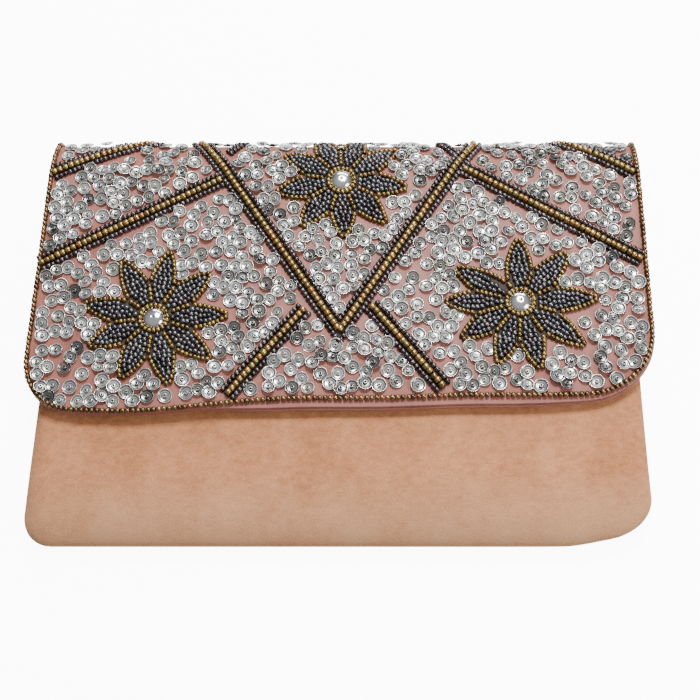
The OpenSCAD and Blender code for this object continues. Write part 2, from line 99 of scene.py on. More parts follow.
FACE_T, BOARD_T, LINING_T = 0.8, 1.0, 0.5
STACK_T = FACE_T + BOARD_T + LINING_T
SLIP = 0.02  # keeps a board or felt off the cloth on either side of it

# ---- The body ----
LOW_Y, SEAM_Z = JOINTS["mouth"][1:]
BODY_W = np.ptp([c[0] for c in cad_box("back_velvet")])
MOUTH_Y, FRONT_Z = cad_box("front_velvet")[1][1:]
BODY_TAPER = 5.0
CORNER_L, CORNER_R = 12.0, 17.0
ROLL_H = 30.0  # height of the softer roll along the bottom edge
YOKE_Y = SHOULDER_Y + SHOULDER_R * math.cos(YOKE_TURN)

# ---- The flap ----
FLAP_LO, FLAP_HI = cad_box("flap_satin")
FLAP_W = FLAP_HI[0] - FLAP_LO[0]
FLAP_TAPER = 3.0
FLAP_CORNER_L, FLAP_CORNER_R = 19.0, 27.0
FOLD_HALF = (FLAP_W - FLAP_TAPER) / 2
EDGE_S = CREST_Y - FLAP_LO[1] + (S_FLAT - (CREST_Y - SHOULDER_Y))
FLAP_REACH = EDGE_S - 3.0
DROOP, CORNER_DROOP, RIPPLE = 1.5, 0.5, 0.14


def smooth(t):
    """0 up to t = 0, then smoothly to 1 at t = 1."""
    t = np.clip(t, 0, 1)
    return t * t * (3 - 2 * t)


def waves(x, s, scale):
    """Slow unevenness of a soft sheet, about -1 to 1."""
    return (
        np.sin(x / (3.1 * scale) + 1.3 + np.sin(s / (5.2 * scale)))
        + np.sin(s / (2.7 * scale) + 0.4 + 0.8 * np.sin(x / (4.4 * scale)))
        + np.sin((x + s) / (2.2 * scale) + 2.1)
    ) / 3


def fold_turn(s):
    """How far the satin's normal has turned from +Y at the crest, up to 90 degrees on the flat."""
    a = np.abs(s)
    turn = np.where(a <= S_NOSE, a / FOLD_R, NOSE_TURN + (a - S_NOSE) / SHOULDER_R)
    return np.minimum(turn, math.pi / 2)


def flow(s):
    """Unit direction of growing s: down the front, and up towards the crest behind it."""
    turn = fold_turn(s)
    side = np.where(s >= 0, 1.0, -1.0)
    return np.stack([np.zeros_like(turn), -side * np.sin(turn), np.cos(turn)], -1)


def skin(x, s, h=0.0):
    """Points and unit normals on the folded satin, h outwards from its face."""
    x, s, h = np.broadcast_arrays(*(np.asarray(v, float) for v in (x, s, h)))
    turn, tight, front = fold_turn(s), np.abs(s) <= S_NOSE, s >= 0
    r = np.where(tight, FOLD_R, SHOULDER_R) + h
    y = np.where(tight, NOSE_Y, SHOULDER_Y) + r * np.cos(turn) - np.maximum(np.abs(s) - S_FLAT, 0)
    z = np.where(tight, MID_Z, TOP_Z - SHOULDER_R) + r * np.sin(turn)
    droop = DROOP * smooth((s - 98) / 28)
    droop = droop + CORNER_DROOP * smooth((np.abs(x) - 100) / 24) * smooth((s - 26) / 40)
    ripple = RIPPLE * waves(x, s, 6) * smooth((s - 20) / 30)
    z = np.where(front, z - droop + ripple, 2 * MID_Z - z)
    p = np.stack([x, y, z], -1)
    n = np.stack([np.zeros_like(x), np.cos(turn), np.where(front, 1, -1) * np.sin(turn)], -1)
    return p, n


# ---- Materials ----


class Tree:
    """Short words for one node tree."""

    def __init__(self, tree):
        self.tree = tree

    def add(self, kind, **values):
        """A new node. Each value is a property of it or, with _ for a space, an input."""
        node = self.tree.nodes.new(kind)
        for key, value in values.items():
            if hasattr(node, key):
                setattr(node, key, value)
            else:
                node.inputs[key.replace("_", " ")].default_value = value
        return node

    def link(self, a, b):
        self.tree.links.new(a, b)

    def attribute(self, name):
        return self.add("ShaderNodeAttribute", attribute_name=name)

    def noise(self, vector, scale, detail, rough):
        node = self.add("ShaderNodeTexNoise", Scale=scale, Detail=detail, Roughness=rough)
        self.link(vector, node.inputs["Vector"])
        return node.outputs["Fac"]

    def stretched(self, vector, sx, sy):
        node = self.add("ShaderNodeMapping", Scale=(sx, sy, 1.0))
        self.link(vector, node.inputs["Vector"])
        return node.outputs["Vector"]

    def ramp(self, fac, stops):
        node = self.add("ShaderNodeValToRGB")
        while len(node.color_ramp.elements) < len(stops):
            node.color_ramp.elements.new(0.5)
        for element, (at, colour) in zip(node.color_ramp.elements, stops):
            element.position = at
            element.color = (*colour, 1)
        self.link(fac, node.inputs["Fac"])
        return node.outputs["Color"]

    def math(self, op, a, b=None):
        node = self.add("ShaderNodeMath", operation=op)
        for socket, value in zip(node.inputs, (a, b)):
            if value is None:
                continue
            if isinstance(value, (int, float)):
                socket.default_value = value
            else:
                self.link(value, socket)
        return node.outputs[0]

    def mix(self, fac, a, b, blend="MIX"):
        node = self.add("ShaderNodeMix", data_type="RGBA", blend_type=blend)
        for socket, value in zip((node.inputs[0], node.inputs[6], node.inputs[7]), (fac, a, b)):
            if isinstance(value, (int, float)):
                socket.default_value = value
            elif isinstance(value, tuple):
                socket.default_value = (*value, 1)
            else:
                self.link(value, socket)
        return node.outputs[2]


class Material(Tree):
    """A new material with words for what feeds its main shader."""

    def __init__(self, name):
        self.mat = bpy.data.materials.new(name)
        self.mat.use_nodes = True
        super().__init__(self.mat.node_tree)
        self.bsdf = self.tree.nodes["Principled BSDF"]
        self.out = self.tree.nodes["Material Output"]

    def object_noise(self, scale, detail):
        place = self.add("ShaderNodeTexCoord").outputs["Object"]
        return self.noise(place, scale, detail, 0.6)

    def colour(self, source):
        self.link(source, self.bsdf.inputs["Base Color"])

    def rough(self, cloud, spread, least):
        uneven = self.math("ADD", self.math("MULTIPLY", cloud, spread), least)
        self.link(uneven, self.bsdf.inputs["Roughness"])

    def bump(self, height, distance, strength):
        node = self.add("ShaderNodeBump", Distance=distance * MM, Strength=strength)
        self.link(height, node.inputs["Height"])
        self.link(node.outputs["Normal"], self.bsdf.inputs["Normal"])

    def set(self, **values):
        for key, value in values.items():
            self.bsdf.inputs[key.replace("_", " ")].default_value = value


def grey(value):
    return (value,) * 3


def velvet_material(name, light, dark, lit_bottom_tone):
    """Short pile, clouded and stroked, with a painted lighter, paler tone along the bottom edge."""
    m = Material(name)
    run = m.attribute("run").outputs["Vector"]
    cloud = m.noise(m.stretched(run, 1.0, 0.75), 0.03, 7.0, 0.72)
    strokes = m.noise(m.stretched(run, 0.8, 1.2), 0.34, 4.0, 0.7)
    nap = m.noise(run, 1.7, 3.0, 0.75)
    worn = m.math("ADD", m.math("MULTIPLY", cloud, 0.6), m.math("MULTIPLY", strokes, 0.4))
    base = m.ramp(worn, [(0.36, dark), (0.62, light)])
    specks = m.ramp(nap, [(0.25, (0.66, 0.64, 0.62)), (0.75, grey(1.14))])
    parts = m.add("ShaderNodeSeparateXYZ")
    m.link(run, parts.inputs[0])
    # Painted light: up to ROLL_H above the bottom edge the velvet is mixed towards a lighter, paler tone.
    low = m.math("MULTIPLY", m.math("SUBTRACT", LOW_Y + ROLL_H, parts.outputs["Y"]), 1 / ROLL_H)
    low = m.math("MINIMUM", m.math("MAXIMUM", low, 0.0), 1.0)
    base = m.mix(m.math("MULTIPLY", low, m.math("MULTIPLY", cloud, 1.3)), base, lit_bottom_tone)
    m.colour(m.mix(1.0, base, specks, "MULTIPLY"))
    m.set(Roughness=0.95, Specular_IOR_Level=0.12)
    m.set(Sheen_Weight=0.35, Sheen_Roughness=0.42, Sheen_Tint=(1.0, 0.72, 0.54, 1))
    m.bump(m.math("ADD", m.math("MULTIPLY", nap, 0.6), m.math("MULTIPLY", strokes, 1.2)), 0.22, 0.55)
    return m.mat


def satin_material(name, light, dark, rough, thread):
    """Fine weave: warp and weft are noise stretched along and across the cloth."""
    m = Material(name)
    run = m.attribute("run").outputs["Vector"]
    warp = m.noise(m.stretched(run, thread * 2.2, 0.12), 1.0, 2.0, 0.6)
    weft = m.noise(m.stretched(run, 0.25, thread), 1.0, 2.0, 0.6)
    slow = m.noise(run, 0.06, 2.0, 0.5)
    shade = m.math("ADD", m.math("MULTIPLY", warp, 0.55), m.math("MULTIPLY", slow, 0.45))
    m.colour(m.ramp(shade, [(0.32, dark), (0.68, light)]))
    m.set(Roughness=rough, Sheen_Weight=0.08, Sheen_Roughness=0.3, Anisotropic=0.45)
    m.set(Specular_IOR_Level=0.3)
    m.bump(m.math("ADD", warp, m.math("MULTIPLY", weft, 0.7)), 0.05, 0.5)
    return m.mat


def bead_material(name, metal, rough):
    """Coated glass: its colour is each bead's own tint, worn and clouded by noise."""
    m = Material(name)
    tint = m.attribute("tint").outputs["Color"]
    cloud = m.object_noise(900.0, 2.0)
    shade = m.ramp(cloud, [(0.3, grey(0.65)), (0.7, grey(1.0))])
    m.colour(m.mix(1.0, tint, shade, "MULTIPLY"))
    m.rough(cloud, 0.22, rough - 0.1)
    m.set(Metallic=metal, Coat_Weight=0.2, Coat_Roughness=0.2)
    m.bump(cloud, 0.03, 0.35)
    return m.mat


def sequin_material(name, clear):
    """Clear cup with a silvered face: mirror on its ridges, see-through in its grooves. Its tint also carries
    painted highlights and painted shade on the rings.
    """
    m = Material(name)
    tint = m.attribute("tint").outputs
    cloud = m.object_noise(420.0, 2.0)
    shade = m.ramp(cloud, [(0.3, grey(0.78)), (0.7, grey(1.0))])
    m.colour(m.mix(1.0, tint["Color"], shade, "MULTIPLY"))
    m.rough(cloud, 0.2, 0.1)
    m.set(Metallic=0.6, Coat_Weight=0.6, Coat_Roughness=0.07)
    m.bump(cloud, 0.04, 0.3)
    through = m.add("ShaderNodeBsdfTransparent", Color=(0.82, 0.80, 0.79, 1))
    mixer = m.add("ShaderNodeMixShader")
    groove = m.math("SUBTRACT", 1.0, tint["Alpha"])
    m.link(m.math("MULTIPLY", groove, clear), mixer.inputs["Fac"])
    m.link(m.bsdf.outputs["BSDF"], mixer.inputs[1])
    m.link(through.outputs["BSDF"], mixer.inputs[2])
    m.link(mixer.outputs["Shader"], m.out.inputs["Surface"])
    return m.mat


def plain_material(name, light, dark, rough, metal, scale, bump):
    """Two tones clouded into each other."""
    m = Material(name)
    cloud = m.object_noise(scale, 4.0)
    m.colour(m.ramp(cloud, [(0.3, dark), (0.7, light)]))
    m.rough(cloud, 0.2, rough - 0.1)
    m.set(Metallic=metal)
    m.bump(cloud, bump, 0.4)
    return m.mat


# The third colour is the painted lighter tone along the bottom edge.
VELVET = velvet_material("velvet", (0.64, 0.29, 0.138), (0.38, 0.15, 0.064), (0.50, 0.29, 0.165))
SATIN = satin_material("satin", (0.36, 0.142, 0.110), (0.25, 0.088, 0.068), 0.5, 2.4)
LINING = satin_material("lining", (0.46, 0.24, 0.18), (0.36, 0.17, 0.125), 0.55, 1.6)
GOLD = bead_material("gold_beads", 0.85, 0.28)
GUNMETAL = bead_material("gunmetal_beads", 0.88, 0.27)
SEQUIN = sequin_material("sequin", 0.72)
CLEAR_BEAD = sequin_material("sequin_bead", 0.0)
# name, light, dark, roughness, metal, scale of the clouds, height of the bumps
FELT = plain_material("felt", (0.60, 0.57, 0.52), (0.48, 0.45, 0.41), 0.95, 0, 700, 0.2)
BOARD = plain_material("board", (0.62, 0.58, 0.50), (0.50, 0.46, 0.40), 0.9, 0, 300, 0.1)
STONE = plain_material("stone", (0.88, 0.88, 0.90), (0.80, 0.80, 0.83), 0.13, 1.0, 60, 0.0)
NICKEL = plain_material("snap_metal", (0.72, 0.71, 0.69), (0.60, 0.59, 0.57), 0.28, 1.0, 900, 0.02)
# Painted shade: a near-black sheet laid under the bead rows and flowers, for the shade in the gaps between
# beads.
GAP_SHADE = plain_material("thread_ground", (0.060, 0.038, 0.030), (0.022, 0.014, 0.012), 0.8, 0, 1500, 0.06)
MAGNET = plain_material("magnet", grey(0.14), grey(0.09), 0.6, 0.5, 900, 0.1)

GOLD_TINT = np.array([0.44, 0.285, 0.095])
BRONZE_TINT = np.array([0.26, 0.172, 0.052])
GUN_TINT = np.array([0.130, 0.105, 0.110])
PETAL_TINT = np.array([0.145, 0.138, 0.150])
SEQUIN_TINT = np.array([0.72, 0.73, 0.70])

# ---- Mesh makers ----


def new_mesh(name, verts, quads, material, normals=None, run=None, tint=None):
    mesh = bpy.data.meshes.new(name)
    verts, quads = np.asarray(verts, float) * MM, np.asarray(quads, np.int32)
    mesh.vertices.add(len(verts))
    mesh.vertices.foreach_set("co", verts.ravel())
    width = quads.shape[1]
    mesh.loops.add(quads.size)
    mesh.loops.foreach_set("vertex_index", quads.ravel())
    mesh.polygons.add(len(quads))
    mesh.polygons.foreach_set("loop_start", np.arange(0, quads.size, width, dtype=np.int32))
    mesh.update(calc_edges=True)
    mesh.polygons.foreach_set("use_smooth", np.ones(len(quads), bool))
    if run is not None:
        data = mesh.attributes.new("run", "FLOAT_VECTOR", "POINT").data
        data.foreach_set("vector", np.asarray(run, np.float32).ravel())
    if tint is not None:
        data = mesh.attributes.new("tint", "FLOAT_COLOR", "POINT").data
        data.foreach_set("color", np.asarray(tint, np.float32).ravel())
    if normals is not None:
        mesh.normals_split_custom_set_from_vertices(np.asarray(normals, float).tolist())
    mesh.materials.append(material)
    obj = bpy.data.objects.new(name, mesh)
    bpy.context.scene.collection.objects.link(obj)
    return obj


def finish_piece(obj, body=None, nodes=(), blend=None):
    """Hides the nodes a piece stands for, then parents it to its body, or bakes the transform of a piece that
    lies between two bodies.
    """
    if nodes:
        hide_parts(*nodes)
    if blend:
        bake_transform(obj)
    else:
        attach(obj, body)
    return obj


def unit(v):
    return v / np.maximum(np.linalg.norm(v, axis=-1, keepdims=True), 1e-12)


def grid_normals(p):
    return unit(np.cross(np.gradient(p, axis=1), np.gradient(p, axis=0)))


def around(idx):
    """Indices once round a grid's outline."""
    return np.concatenate([idx[0], idx[1:, -1], idx[-1, -2::-1], idx[-2:0:-1, 0]])


def in_cloth(x, s):
    """Each point's place in the flat cloth, which its weave and nap follow."""
    return np.stack([x, s, np.zeros_like(x)], -1)


EDGE_STEPS = 5


def shell(name, p, thick, material, run, n, rounded="tblr"):
    """Closed cloth of the given thickness behind grid p (rows down, columns across).
    rounded names the sides (top, bottom, left, right) whose edges are turned; others are cut flat."""
    rows, cols = p.shape[:2]
    flip = float(np.sum(grid_normals(p) * n)) > 0
    turned = np.zeros((rows, cols), bool)
    turned[0] |= "t" in rounded
    turned[-1] |= "b" in rounded
    turned[:, 0] |= "l" in rounded
    turned[:, -1] |= "r" in rounded
    idx = np.arange(rows * cols).reshape(rows, cols)
    loop = around(idx)
    edge_p, edge_n = p.reshape(-1, 3)[loop], n.reshape(-1, 3)[loop]
    outwards = unit(np.cross(np.roll(edge_p, -1, 0) - np.roll(edge_p, 1, 0), edge_n))
    outwards = outwards * np.sign(np.sum(outwards * (edge_p - edge_p.mean(0))))
    outwards = outwards * turned.reshape(-1)[loop][:, None]
    verts = [p.reshape(-1, 3), (p - n * thick).reshape(-1, 3)]
    norms = [n.reshape(-1, 3), -n.reshape(-1, 3)]
    for k in range(1, EDGE_STEPS):
        a = math.pi * k / EDGE_STEPS
        bulge = edge_n * math.cos(a) + outwards * math.sin(a)
        verts.append(edge_p - edge_n * thick / 2 + thick / 2 * bulge)
        norms.append(unit(bulge + outwards * 1e-6))
    total, ring = rows * cols, len(loop)
    a, b, c, d = idx[:-1, :-1], idx[:-1, 1:], idx[1:, 1:], idx[1:, :-1]
    outer = np.stack([a, d, c, b], -1).reshape(-1, 4)
    inner = np.stack([a, b, c, d], -1).reshape(-1, 4) + total
    rings = [2 * total + ring * k + np.arange(ring) for k in range(EDGE_STEPS - 1)]
    bands = [loop] + rings + [loop + total]
    sides = [np.stack([lo, np.roll(lo, -1), np.roll(hi, -1), hi], -1) for lo, hi in zip(bands[:-1], bands[1:])]
    quads = np.concatenate([outer, inner] + sides)
    if flip:
        quads = quads[:, ::-1]
    run = run.reshape(-1, 3)
    runs = [run, run] + [run[loop]] * (EDGE_STEPS - 1)
    return new_mesh(name, np.concatenate(verts), quads, material, np.concatenate(norms), np.concatenate(runs))


def lathe(profile, segments):
    """Closed (radius, height) profile turned about the local Z axis."""
    profile = np.asarray(profile, float)
    a = np.arange(segments) * 2 * math.pi / segments
    v = np.stack([
        profile[:, None, 0] * np.cos(a), profile[:, None, 0] * np.sin(a),
        np.repeat(profile[:, None, 1], segments, 1)], -1)
    i, j = np.meshgrid(np.arange(len(profile)), np.arange(segments), indexing="ij")
    i2, j2 = (i + 1) % len(profile), (j + 1) % segments
    quads = np.stack([i * segments + j, i * segments + j2, i2 * segments + j2, i2 * segments + j], -1)
    return v.reshape(-1, 3), quads.reshape(-1, 4)


def bead_template(points, segments, hole):
    """Round-shouldered bead with its thread along X, one unit long and one across."""
    a = -np.arange(points) * 2 * math.pi / points
    along, out = (np.sign(v) * np.abs(v) ** 0.72 for v in (np.sin(a), np.cos(a)))
    profile = np.stack([(0.5 + hole / 2) / 2 + (0.5 - hole / 2) / 2 * out, 0.5 * along], -1)
    v, q = lathe(profile, segments)
    return v[:, [2, 0, 1]], q


def stamp(name, template, at, ax, ay, az, size, tint, material, shade=None):
    """One mesh of many copies: each template point goes along its copy's own three axes.
    shade lightens or darkens each template point's tint, as painted light and painted shade."""
    v, q = template
    size = np.broadcast_to(size, (len(at), 3))
    pts = at[:, None] + sum(
        v[None, :, k, None] * size[:, None, k, None] * axis[:, None] for k, axis in enumerate((ax, ay, az)))
    quads = (q[None] + np.arange(len(at))[:, None, None] * len(v)).reshape(-1, 4)
    shade = np.ones(len(v)) if shade is None else shade
    colour = np.broadcast_to(tint, (len(at), 3))[:, None] * shade[None, :, None]
    solid = np.tile(shade.clip(0, 1), len(at))[:, None]
    tints = np.concatenate([colour.reshape(-1, 3).clip(0, 0.98), solid], 1)
    return new_mesh(name, pts.reshape(-1, 3), quads, material, tint=tints)


# ---- Bead rows ----
BIG_BEAD = bead_template(10, 14, 0.34)
SMALL_BEAD = bead_template(8, 10, 0.34)
# pitch along the thread, length and width of each kind of bead
CORE = (2.38, 2.12, 2.8)
SEED_BEAD = (2.0, 1.74, 2.1)
RIM_BEAD = (2.03, 1.76, 2.15)
OUTLINE_BEAD = (1.84, 1.7, 2.05)
PETAL_LONG, PETAL_WIDE = 1.78, 2.08
FLANK = (CORE[2] + SEED_BEAD[2]) / 2 + 0.28
rng = np.random.default_rng(SEED)


def walk(path, pitch):
    """Places at a nearly steady pitch along a path in (x, s), with the way it runs there."""
    path = np.asarray(path, float)
    leg = np.linalg.norm(np.diff(path, axis=0), axis=1)
    far = np.concatenate([[0], np.cumsum(leg)])
    count = max(2, int(round(far[-1] / pitch)))
    d = (np.arange(count) + 0.5) * far[-1] / count + rng.normal(0, 0.04 * pitch, count)
    d = np.clip(d, 0, far[-1])

    def on_path(d):
        d = np.clip(d, 0, far[-1])
        return np.stack([np.interp(d, far, path[:, k]) for k in (0, 1)], -1)

    return on_path(d), unit(on_path(d + 0.5) - on_path(d - 0.5))


def tints(base, count, spread, warm=0.0):
    """Each bead's colour: brightness varies most, hue a little, and a few are warmer."""
    t = base * rng.normal(1, spread, (count, 1)).clip(0.5, 1.6) * rng.normal(1, 0.05, (count, 3))
    if warm:
        odd = rng.random(count) < warm
        t[odd] = t[odd] * [1.15, 0.92, 0.85]
    return t.clip(0.01, 1)


class Beads:
    """Beads gathered from several rows of one kind."""

    def __init__(self):
        self.at, self.way, self.size, self.tint, self.height = [], [], [], [], []

    def add(self, at, way, length, width, tint, wobble=0.035, height=None):
        """Beads at their places, each a little off, turned and swollen by chance."""
        n = len(at)
        self.at.append(at + rng.normal(0, wobble, (n, 2)))
        turn = rng.normal(0, 0.09, n)
        c, s = np.cos(turn), np.sin(turn)
        self.way.append(np.stack([way[:, 0] * c - way[:, 1] * s, way[:, 0] * s + way[:, 1] * c], -1))
        swell = rng.normal(1, 0.045, (n, 2)).clip(0.85, 1.15)
        self.size.append(np.stack([length * swell[:, 0], width * swell[:, 1], width * swell[:, 1]], -1))
        self.tint.append(tint)
        self.height.append(np.full(n, width * 0.47 if height is None else height))

    def row(self, path, kind, base, spread, warm=0.0):
        pitch, length, width = kind
        at, way = walk(path, pitch)
        self.add(at, way, length, width, tints(base, len(at), spread, warm))

    def arrays(self):
        return [np.concatenate(v) for v in (self.at, self.way, self.size, self.tint, self.height)]


def place_beads(name, template, material, arrays):
    at, way, size, tint, height = arrays
    p, n = skin(at[:, 0], at[:, 1], height)
    ax = unit(way[:, :1] * np.array([1.0, 0, 0]) + way[:, 1:] * flow(at[:, 1]))
    return stamp(name, template, p, ax, unit(np.cross(n, ax)), n, size, tint, material)


over_fold = []


def build_beads(name, beads, template, material, nodes):
    """Beads on the flap make one piece; those near the fold wait for the fold's own pieces."""
    arrays = beads.arrays()
    on_flap = arrays[0][:, 1] >= S_NOSE
    if not on_flap.all():
        over_fold.append((material, [a[~on_flap] for a in arrays]))
    obj = place_beads(name, template, material, [a[on_flap] for a in arrays])
    finish_piece(obj, "flap", nodes)


def title(node):
    """A piece's name from its node's: long_lines makes LongLines."""
    return node.title().replace("_", "")


# Ends of the rows in (x, s). Those of the chevron, the corner lines and the short cross rows
# carry on over the fold.
APEX = np.array([0.5, 92.0])
CHEVRON_L, CHEVRON_R = np.array([-62.0, 1.5]), np.array([55.5, 5.5])
LONG_L, LONG_R = [(-123.3, 63.4), (-50.3, 24.4)], [(122.0, 60.5), (50.6, 19.1)]
CORNER_LINE_L, CORNER_LINE_R = [(-122.4, 21.6), (-81.0, 1.2)], [(121.6, 21.4), (86.0, -1.5)]
STUB_L, STUB_R = [(-13.6, 82.5), (-43.4, 118.8)], [(12.8, 81.0), (41.6, 115.0)]
CROSS_L, CROSS_R = [(-48.6, 10.8), (-41.6, 0.5)], [(48.6, 12.0), (41.4, 3.0)]


def run_over(path):
    """Carries a row on from its upper end straight over the crest to the yoke."""
    path = [np.asarray(p, float) for p in path]
    return path + [np.array([path[-1][0], S_YOKE + YOKE_MARGIN])]


def beside(path, gap):
    """The path moved sideways by gap, with mitred bends."""
    path = np.asarray(path, float)
    way = unit(np.diff(path, axis=0))
    side = np.stack([-way[:, 1], way[:, 0]], -1)
    corner = unit(np.concatenate([side[:1], side[:-1] + side[1:], side[-1:]]))
    stretch = np.sum(corner * np.concatenate([side[:1], side]), -1, keepdims=True)
    return path + corner * gap / np.maximum(stretch, 0.5)


def slab(x, s, top=0.3, low=0.05):
    """Thin closed patch on the satin over a grid in (x, s)."""
    idx = np.arange(x.size).reshape(x.shape)
    verts = np.concatenate([skin(x, s, h)[0].reshape(-1, 3) for h in (top, low)])
    loop = around(idx)
    face = np.stack([idx[:-1, :-1], idx[1:, :-1], idx[1:, 1:], idx[:-1, 1:]], -1).reshape(-1, 4)
    side = np.stack([loop, np.roll(loop, -1), np.roll(loop, -1) + x.size, loop + x.size], -1)
    quads = np.concatenate([face, face[:, ::-1] + x.size, side])
    a, b, c = (verts[face[:, k]] for k in (0, 1, 2))
    faces_up = np.sum(np.cross(b - a, c - a)[:, 2]) > 0
    return verts, (quads if faces_up else quads[:, ::-1])


def shade_sheet(name, patches):
    """Painted shade: a dark sheet under the beads that darkens the gaps between them, one piece of many
    patches, kept to the flat of the flap.
    """
    verts, quads, total = [], [], 0
    for x, s in patches:
        flat = s.min(1) > S_NOSE + 0.1
        if flat.sum() < 2:
            continue
        v, q = slab(x[flat], s[flat])
        verts.append(v)
        quads.append(q + total)
        total += len(v)
    obj = new_mesh(name, np.concatenate(verts), np.concatenate(quads), GAP_SHADE)
    obj.data.polygons.foreach_set("use_smooth", np.zeros(len(obj.data.polygons), bool))
    return finish_piece(obj, "flap")

def ribbon(path, half):
    """Grid along a path, half to each side."""
    step = 1.5
    lines = [beside(path, t) for t in (-half, 0.0, half)]
    legs = np.linalg.norm(np.diff(lines[1], axis=0), axis=1)
    u = np.concatenate([i + np.arange(0, 1, step / leg) for i, leg in enumerate(legs)] + [[len(legs)]])
    x, s = (np.stack([np.interp(u, np.arange(len(line)), line[:, k]) for line in lines], 1) for k in (0, 1))
    return x, s

def triple(node, paths, bright):
    """Rows of a gold core with a gunmetal row on each side, over a dark sheet of painted shade."""
    core, flank = Beads(), Beads()
    shade_sheet(title(node) + "_ground", [ribbon(path, FLANK + 0.55) for path in paths])
    for path in paths:
        core.row(path, CORE, bright, 0.15, 0.08)
        for gap in (-FLANK, FLANK):
            flank.row(beside(path, gap), SEED_BEAD, GUN_TINT, 0.3, 0.06)
    build_beads(title(node) + "_gold", core, BIG_BEAD, GOLD, [node + "_gold"])
    build_beads(title(node) + "_gunmetal", flank, SMALL_BEAD, GUNMETAL,
                [node + "_gunmetal"])


triple("chevron", [run_over([APEX, CHEVRON_L])[::-1] + run_over([APEX, CHEVRON_R])[1:]], GOLD_TINT)
triple("long_lines", [LONG_L, LONG_R], GOLD_TINT * 0.92)
triple("corner_lines", [run_over(CORNER_LINE_L), run_over(CORNER_LINE_R)], GOLD_TINT * 0.9)
triple("stub_lines", [STUB_L, STUB_R], GOLD_TINT)

# ---- Outline of the flap ----


def lip(x):
    """How far the satin shows below the edge row: nothing at the left, some millimetres elsewhere."""
    return 0.1 + 2.5 * smooth((x + 62) / 40) - 1.3 * smooth((x - 62) / 50)


def low_edge(x):
    """s of the edge row along the flap's lower side, which isn't quite level or straight."""
    x = np.asarray(x, float)
    bulge = 4.0 * np.exp(-(((x + 84) / 34) ** 2))
    return EDGE_S - 6.4 - 0.026 * (x + 14) + bulge + 0.25 * np.sin(x / 11)


def rounded_side(half, r, past):
    """Half width of an outline where it is past the start of its corner of radius r."""
    dip = np.clip(past, 0, r)
    return half - r + np.sqrt(np.maximum(r * r - dip * dip, 0))


def flap_sides(s, grow):
    """Left and right x of the flap at distance s, with rounded lower corners."""
    half = FLAP_W / 2 - FLAP_TAPER / 2 * (1 - np.clip(s / FLAP_REACH, 0, 1)) + grow
    return [sign * rounded_side(half, r, s - (FLAP_REACH - r))
            for sign, r in ((-1, FLAP_CORNER_L), (1, FLAP_CORNER_R))]


def closer_at_sides(count, share):
    """Places from -1 to 1, closer together towards both ends."""
    t = np.linspace(-1, 1, count)
    return np.sin(t * math.pi / 2) * share + t * (1 - share)


def spread_out(sides, u):
    """Each row's x, where u goes from -1 at its left side to 1 at its right side."""
    left, right = sides
    return left[:, None] + (u[None] + 1) / 2 * (right - left)[:, None]


def flap_grid(grow, lip_scale, s0, rows=90, cols=150):
    """Grid over the flap in (x, s): rows run down, and the last follows the lower edge."""
    v = 1 - (1 - np.linspace(0, 1, rows)) ** 1.7
    base = s0 + v * (FLAP_REACH - s0)
    x = spread_out(flap_sides(base, grow), closer_at_sides(cols, 0.35))
    low = low_edge(x) + lip(x) * lip_scale + grow
    return x, s0 + (base[:, None] - s0) / (FLAP_REACH - s0) * (low - s0)


def build_edge_row():
    x, s = flap_grid(-0.45, 0.0, S_YOKE + YOKE_MARGIN, 160, 240)
    edge = np.concatenate([
        np.stack([x[:, 0], s[:, 0]], -1), np.stack([x[-1, 1:], s[-1, 1:]], -1),
        np.stack([x[-2::-1, -1], s[-2::-1, -1]], -1)])
    rim = Beads()
    rim.row(edge, RIM_BEAD, BRONZE_TINT * [0.92, 0.80, 1.1], 0.3, 0.1)
    build_beads("EdgeRow", rim, SMALL_BEAD, GOLD, ["rim_beads"])


def build_cross_rows():
    """Short double rows from the chevron over the fold."""
    cross = Beads()
    for path in (run_over(CROSS_L), run_over(CROSS_R)):
        for gap in (-1.0, 1.0):
            cross.row(beside(path, gap), SEED_BEAD, GUN_TINT * 0.9, 0.3)
    build_beads("CrossRows", cross, SMALL_BEAD, GUNMETAL, [])


build_edge_row()
build_cross_rows()

# ---- Flowers ----
PETALS = 9
PETAL_BASE, PETAL_HALF = 4.2, 4.95
PETAL_CLEAR = 0.7  # from an outline row to the middle of the gap between two petals
RANK_PITCH = 1.84
RING_R, STONE_R, STONE_H = 5.55, 4.65, 2.8
# centre in (x, s), first petal's direction, first gap and how much each gap shrinks, reach
FLOWERS = {
    "left": ((-74.2, 87.0), 119.5, 39.0, 0.0, 29.8),
    "right": ((72.4, 79.2), 91.0, 45.0, 2.1, 30.3),
    "top": ((-0.1, 24.8), 33.0, 40.0, 0.0, 28.2),
}


def petal_half(r, length, gap):
    """Half width of a petal's outline row at distance r along it."""
    u = np.clip((r - PETAL_BASE) / (length - PETAL_BASE), 0, 1)
    full = PETAL_HALF * np.sin(math.pi * (0.2 + 0.8 * u)) ** 0.75
    return np.minimum(full, np.maximum(r, 0) * math.tan(gap / 2))


def petal_set(name):
    """A flower's centre, and each petal's direction, length and gaps to its neighbours."""
    centre, first, gap, shrink, reach = FLOWERS[name]
    gaps = np.array([gap - shrink * k for k in range(PETALS - 1)])
    turns = first - np.concatenate([[0], np.cumsum(gaps)]) + rng.normal(0, 1.2, PETALS)
    lengths = reach * rng.normal(1, 0.028, PETALS)
    turns = np.radians(turns)
    before = (turns[np.arange(PETALS) - 1] - turns) % (2 * math.pi)
    after = (turns - turns[(np.arange(PETALS) + 1) % PETALS]) % (2 * math.pi)
    return np.array(centre), turns, lengths, before, after


petal_sets = {name: petal_set(name) for name in FLOWERS}


def polar(centre, turn, r, t):
    """(x, s) of a point r along and t to the left of a direction from the flower's centre."""
    c, s = math.cos(turn), math.sin(turn)
    return np.stack([centre[0] + r * c - t * s, centre[1] - (r * s + t * c)], -1)


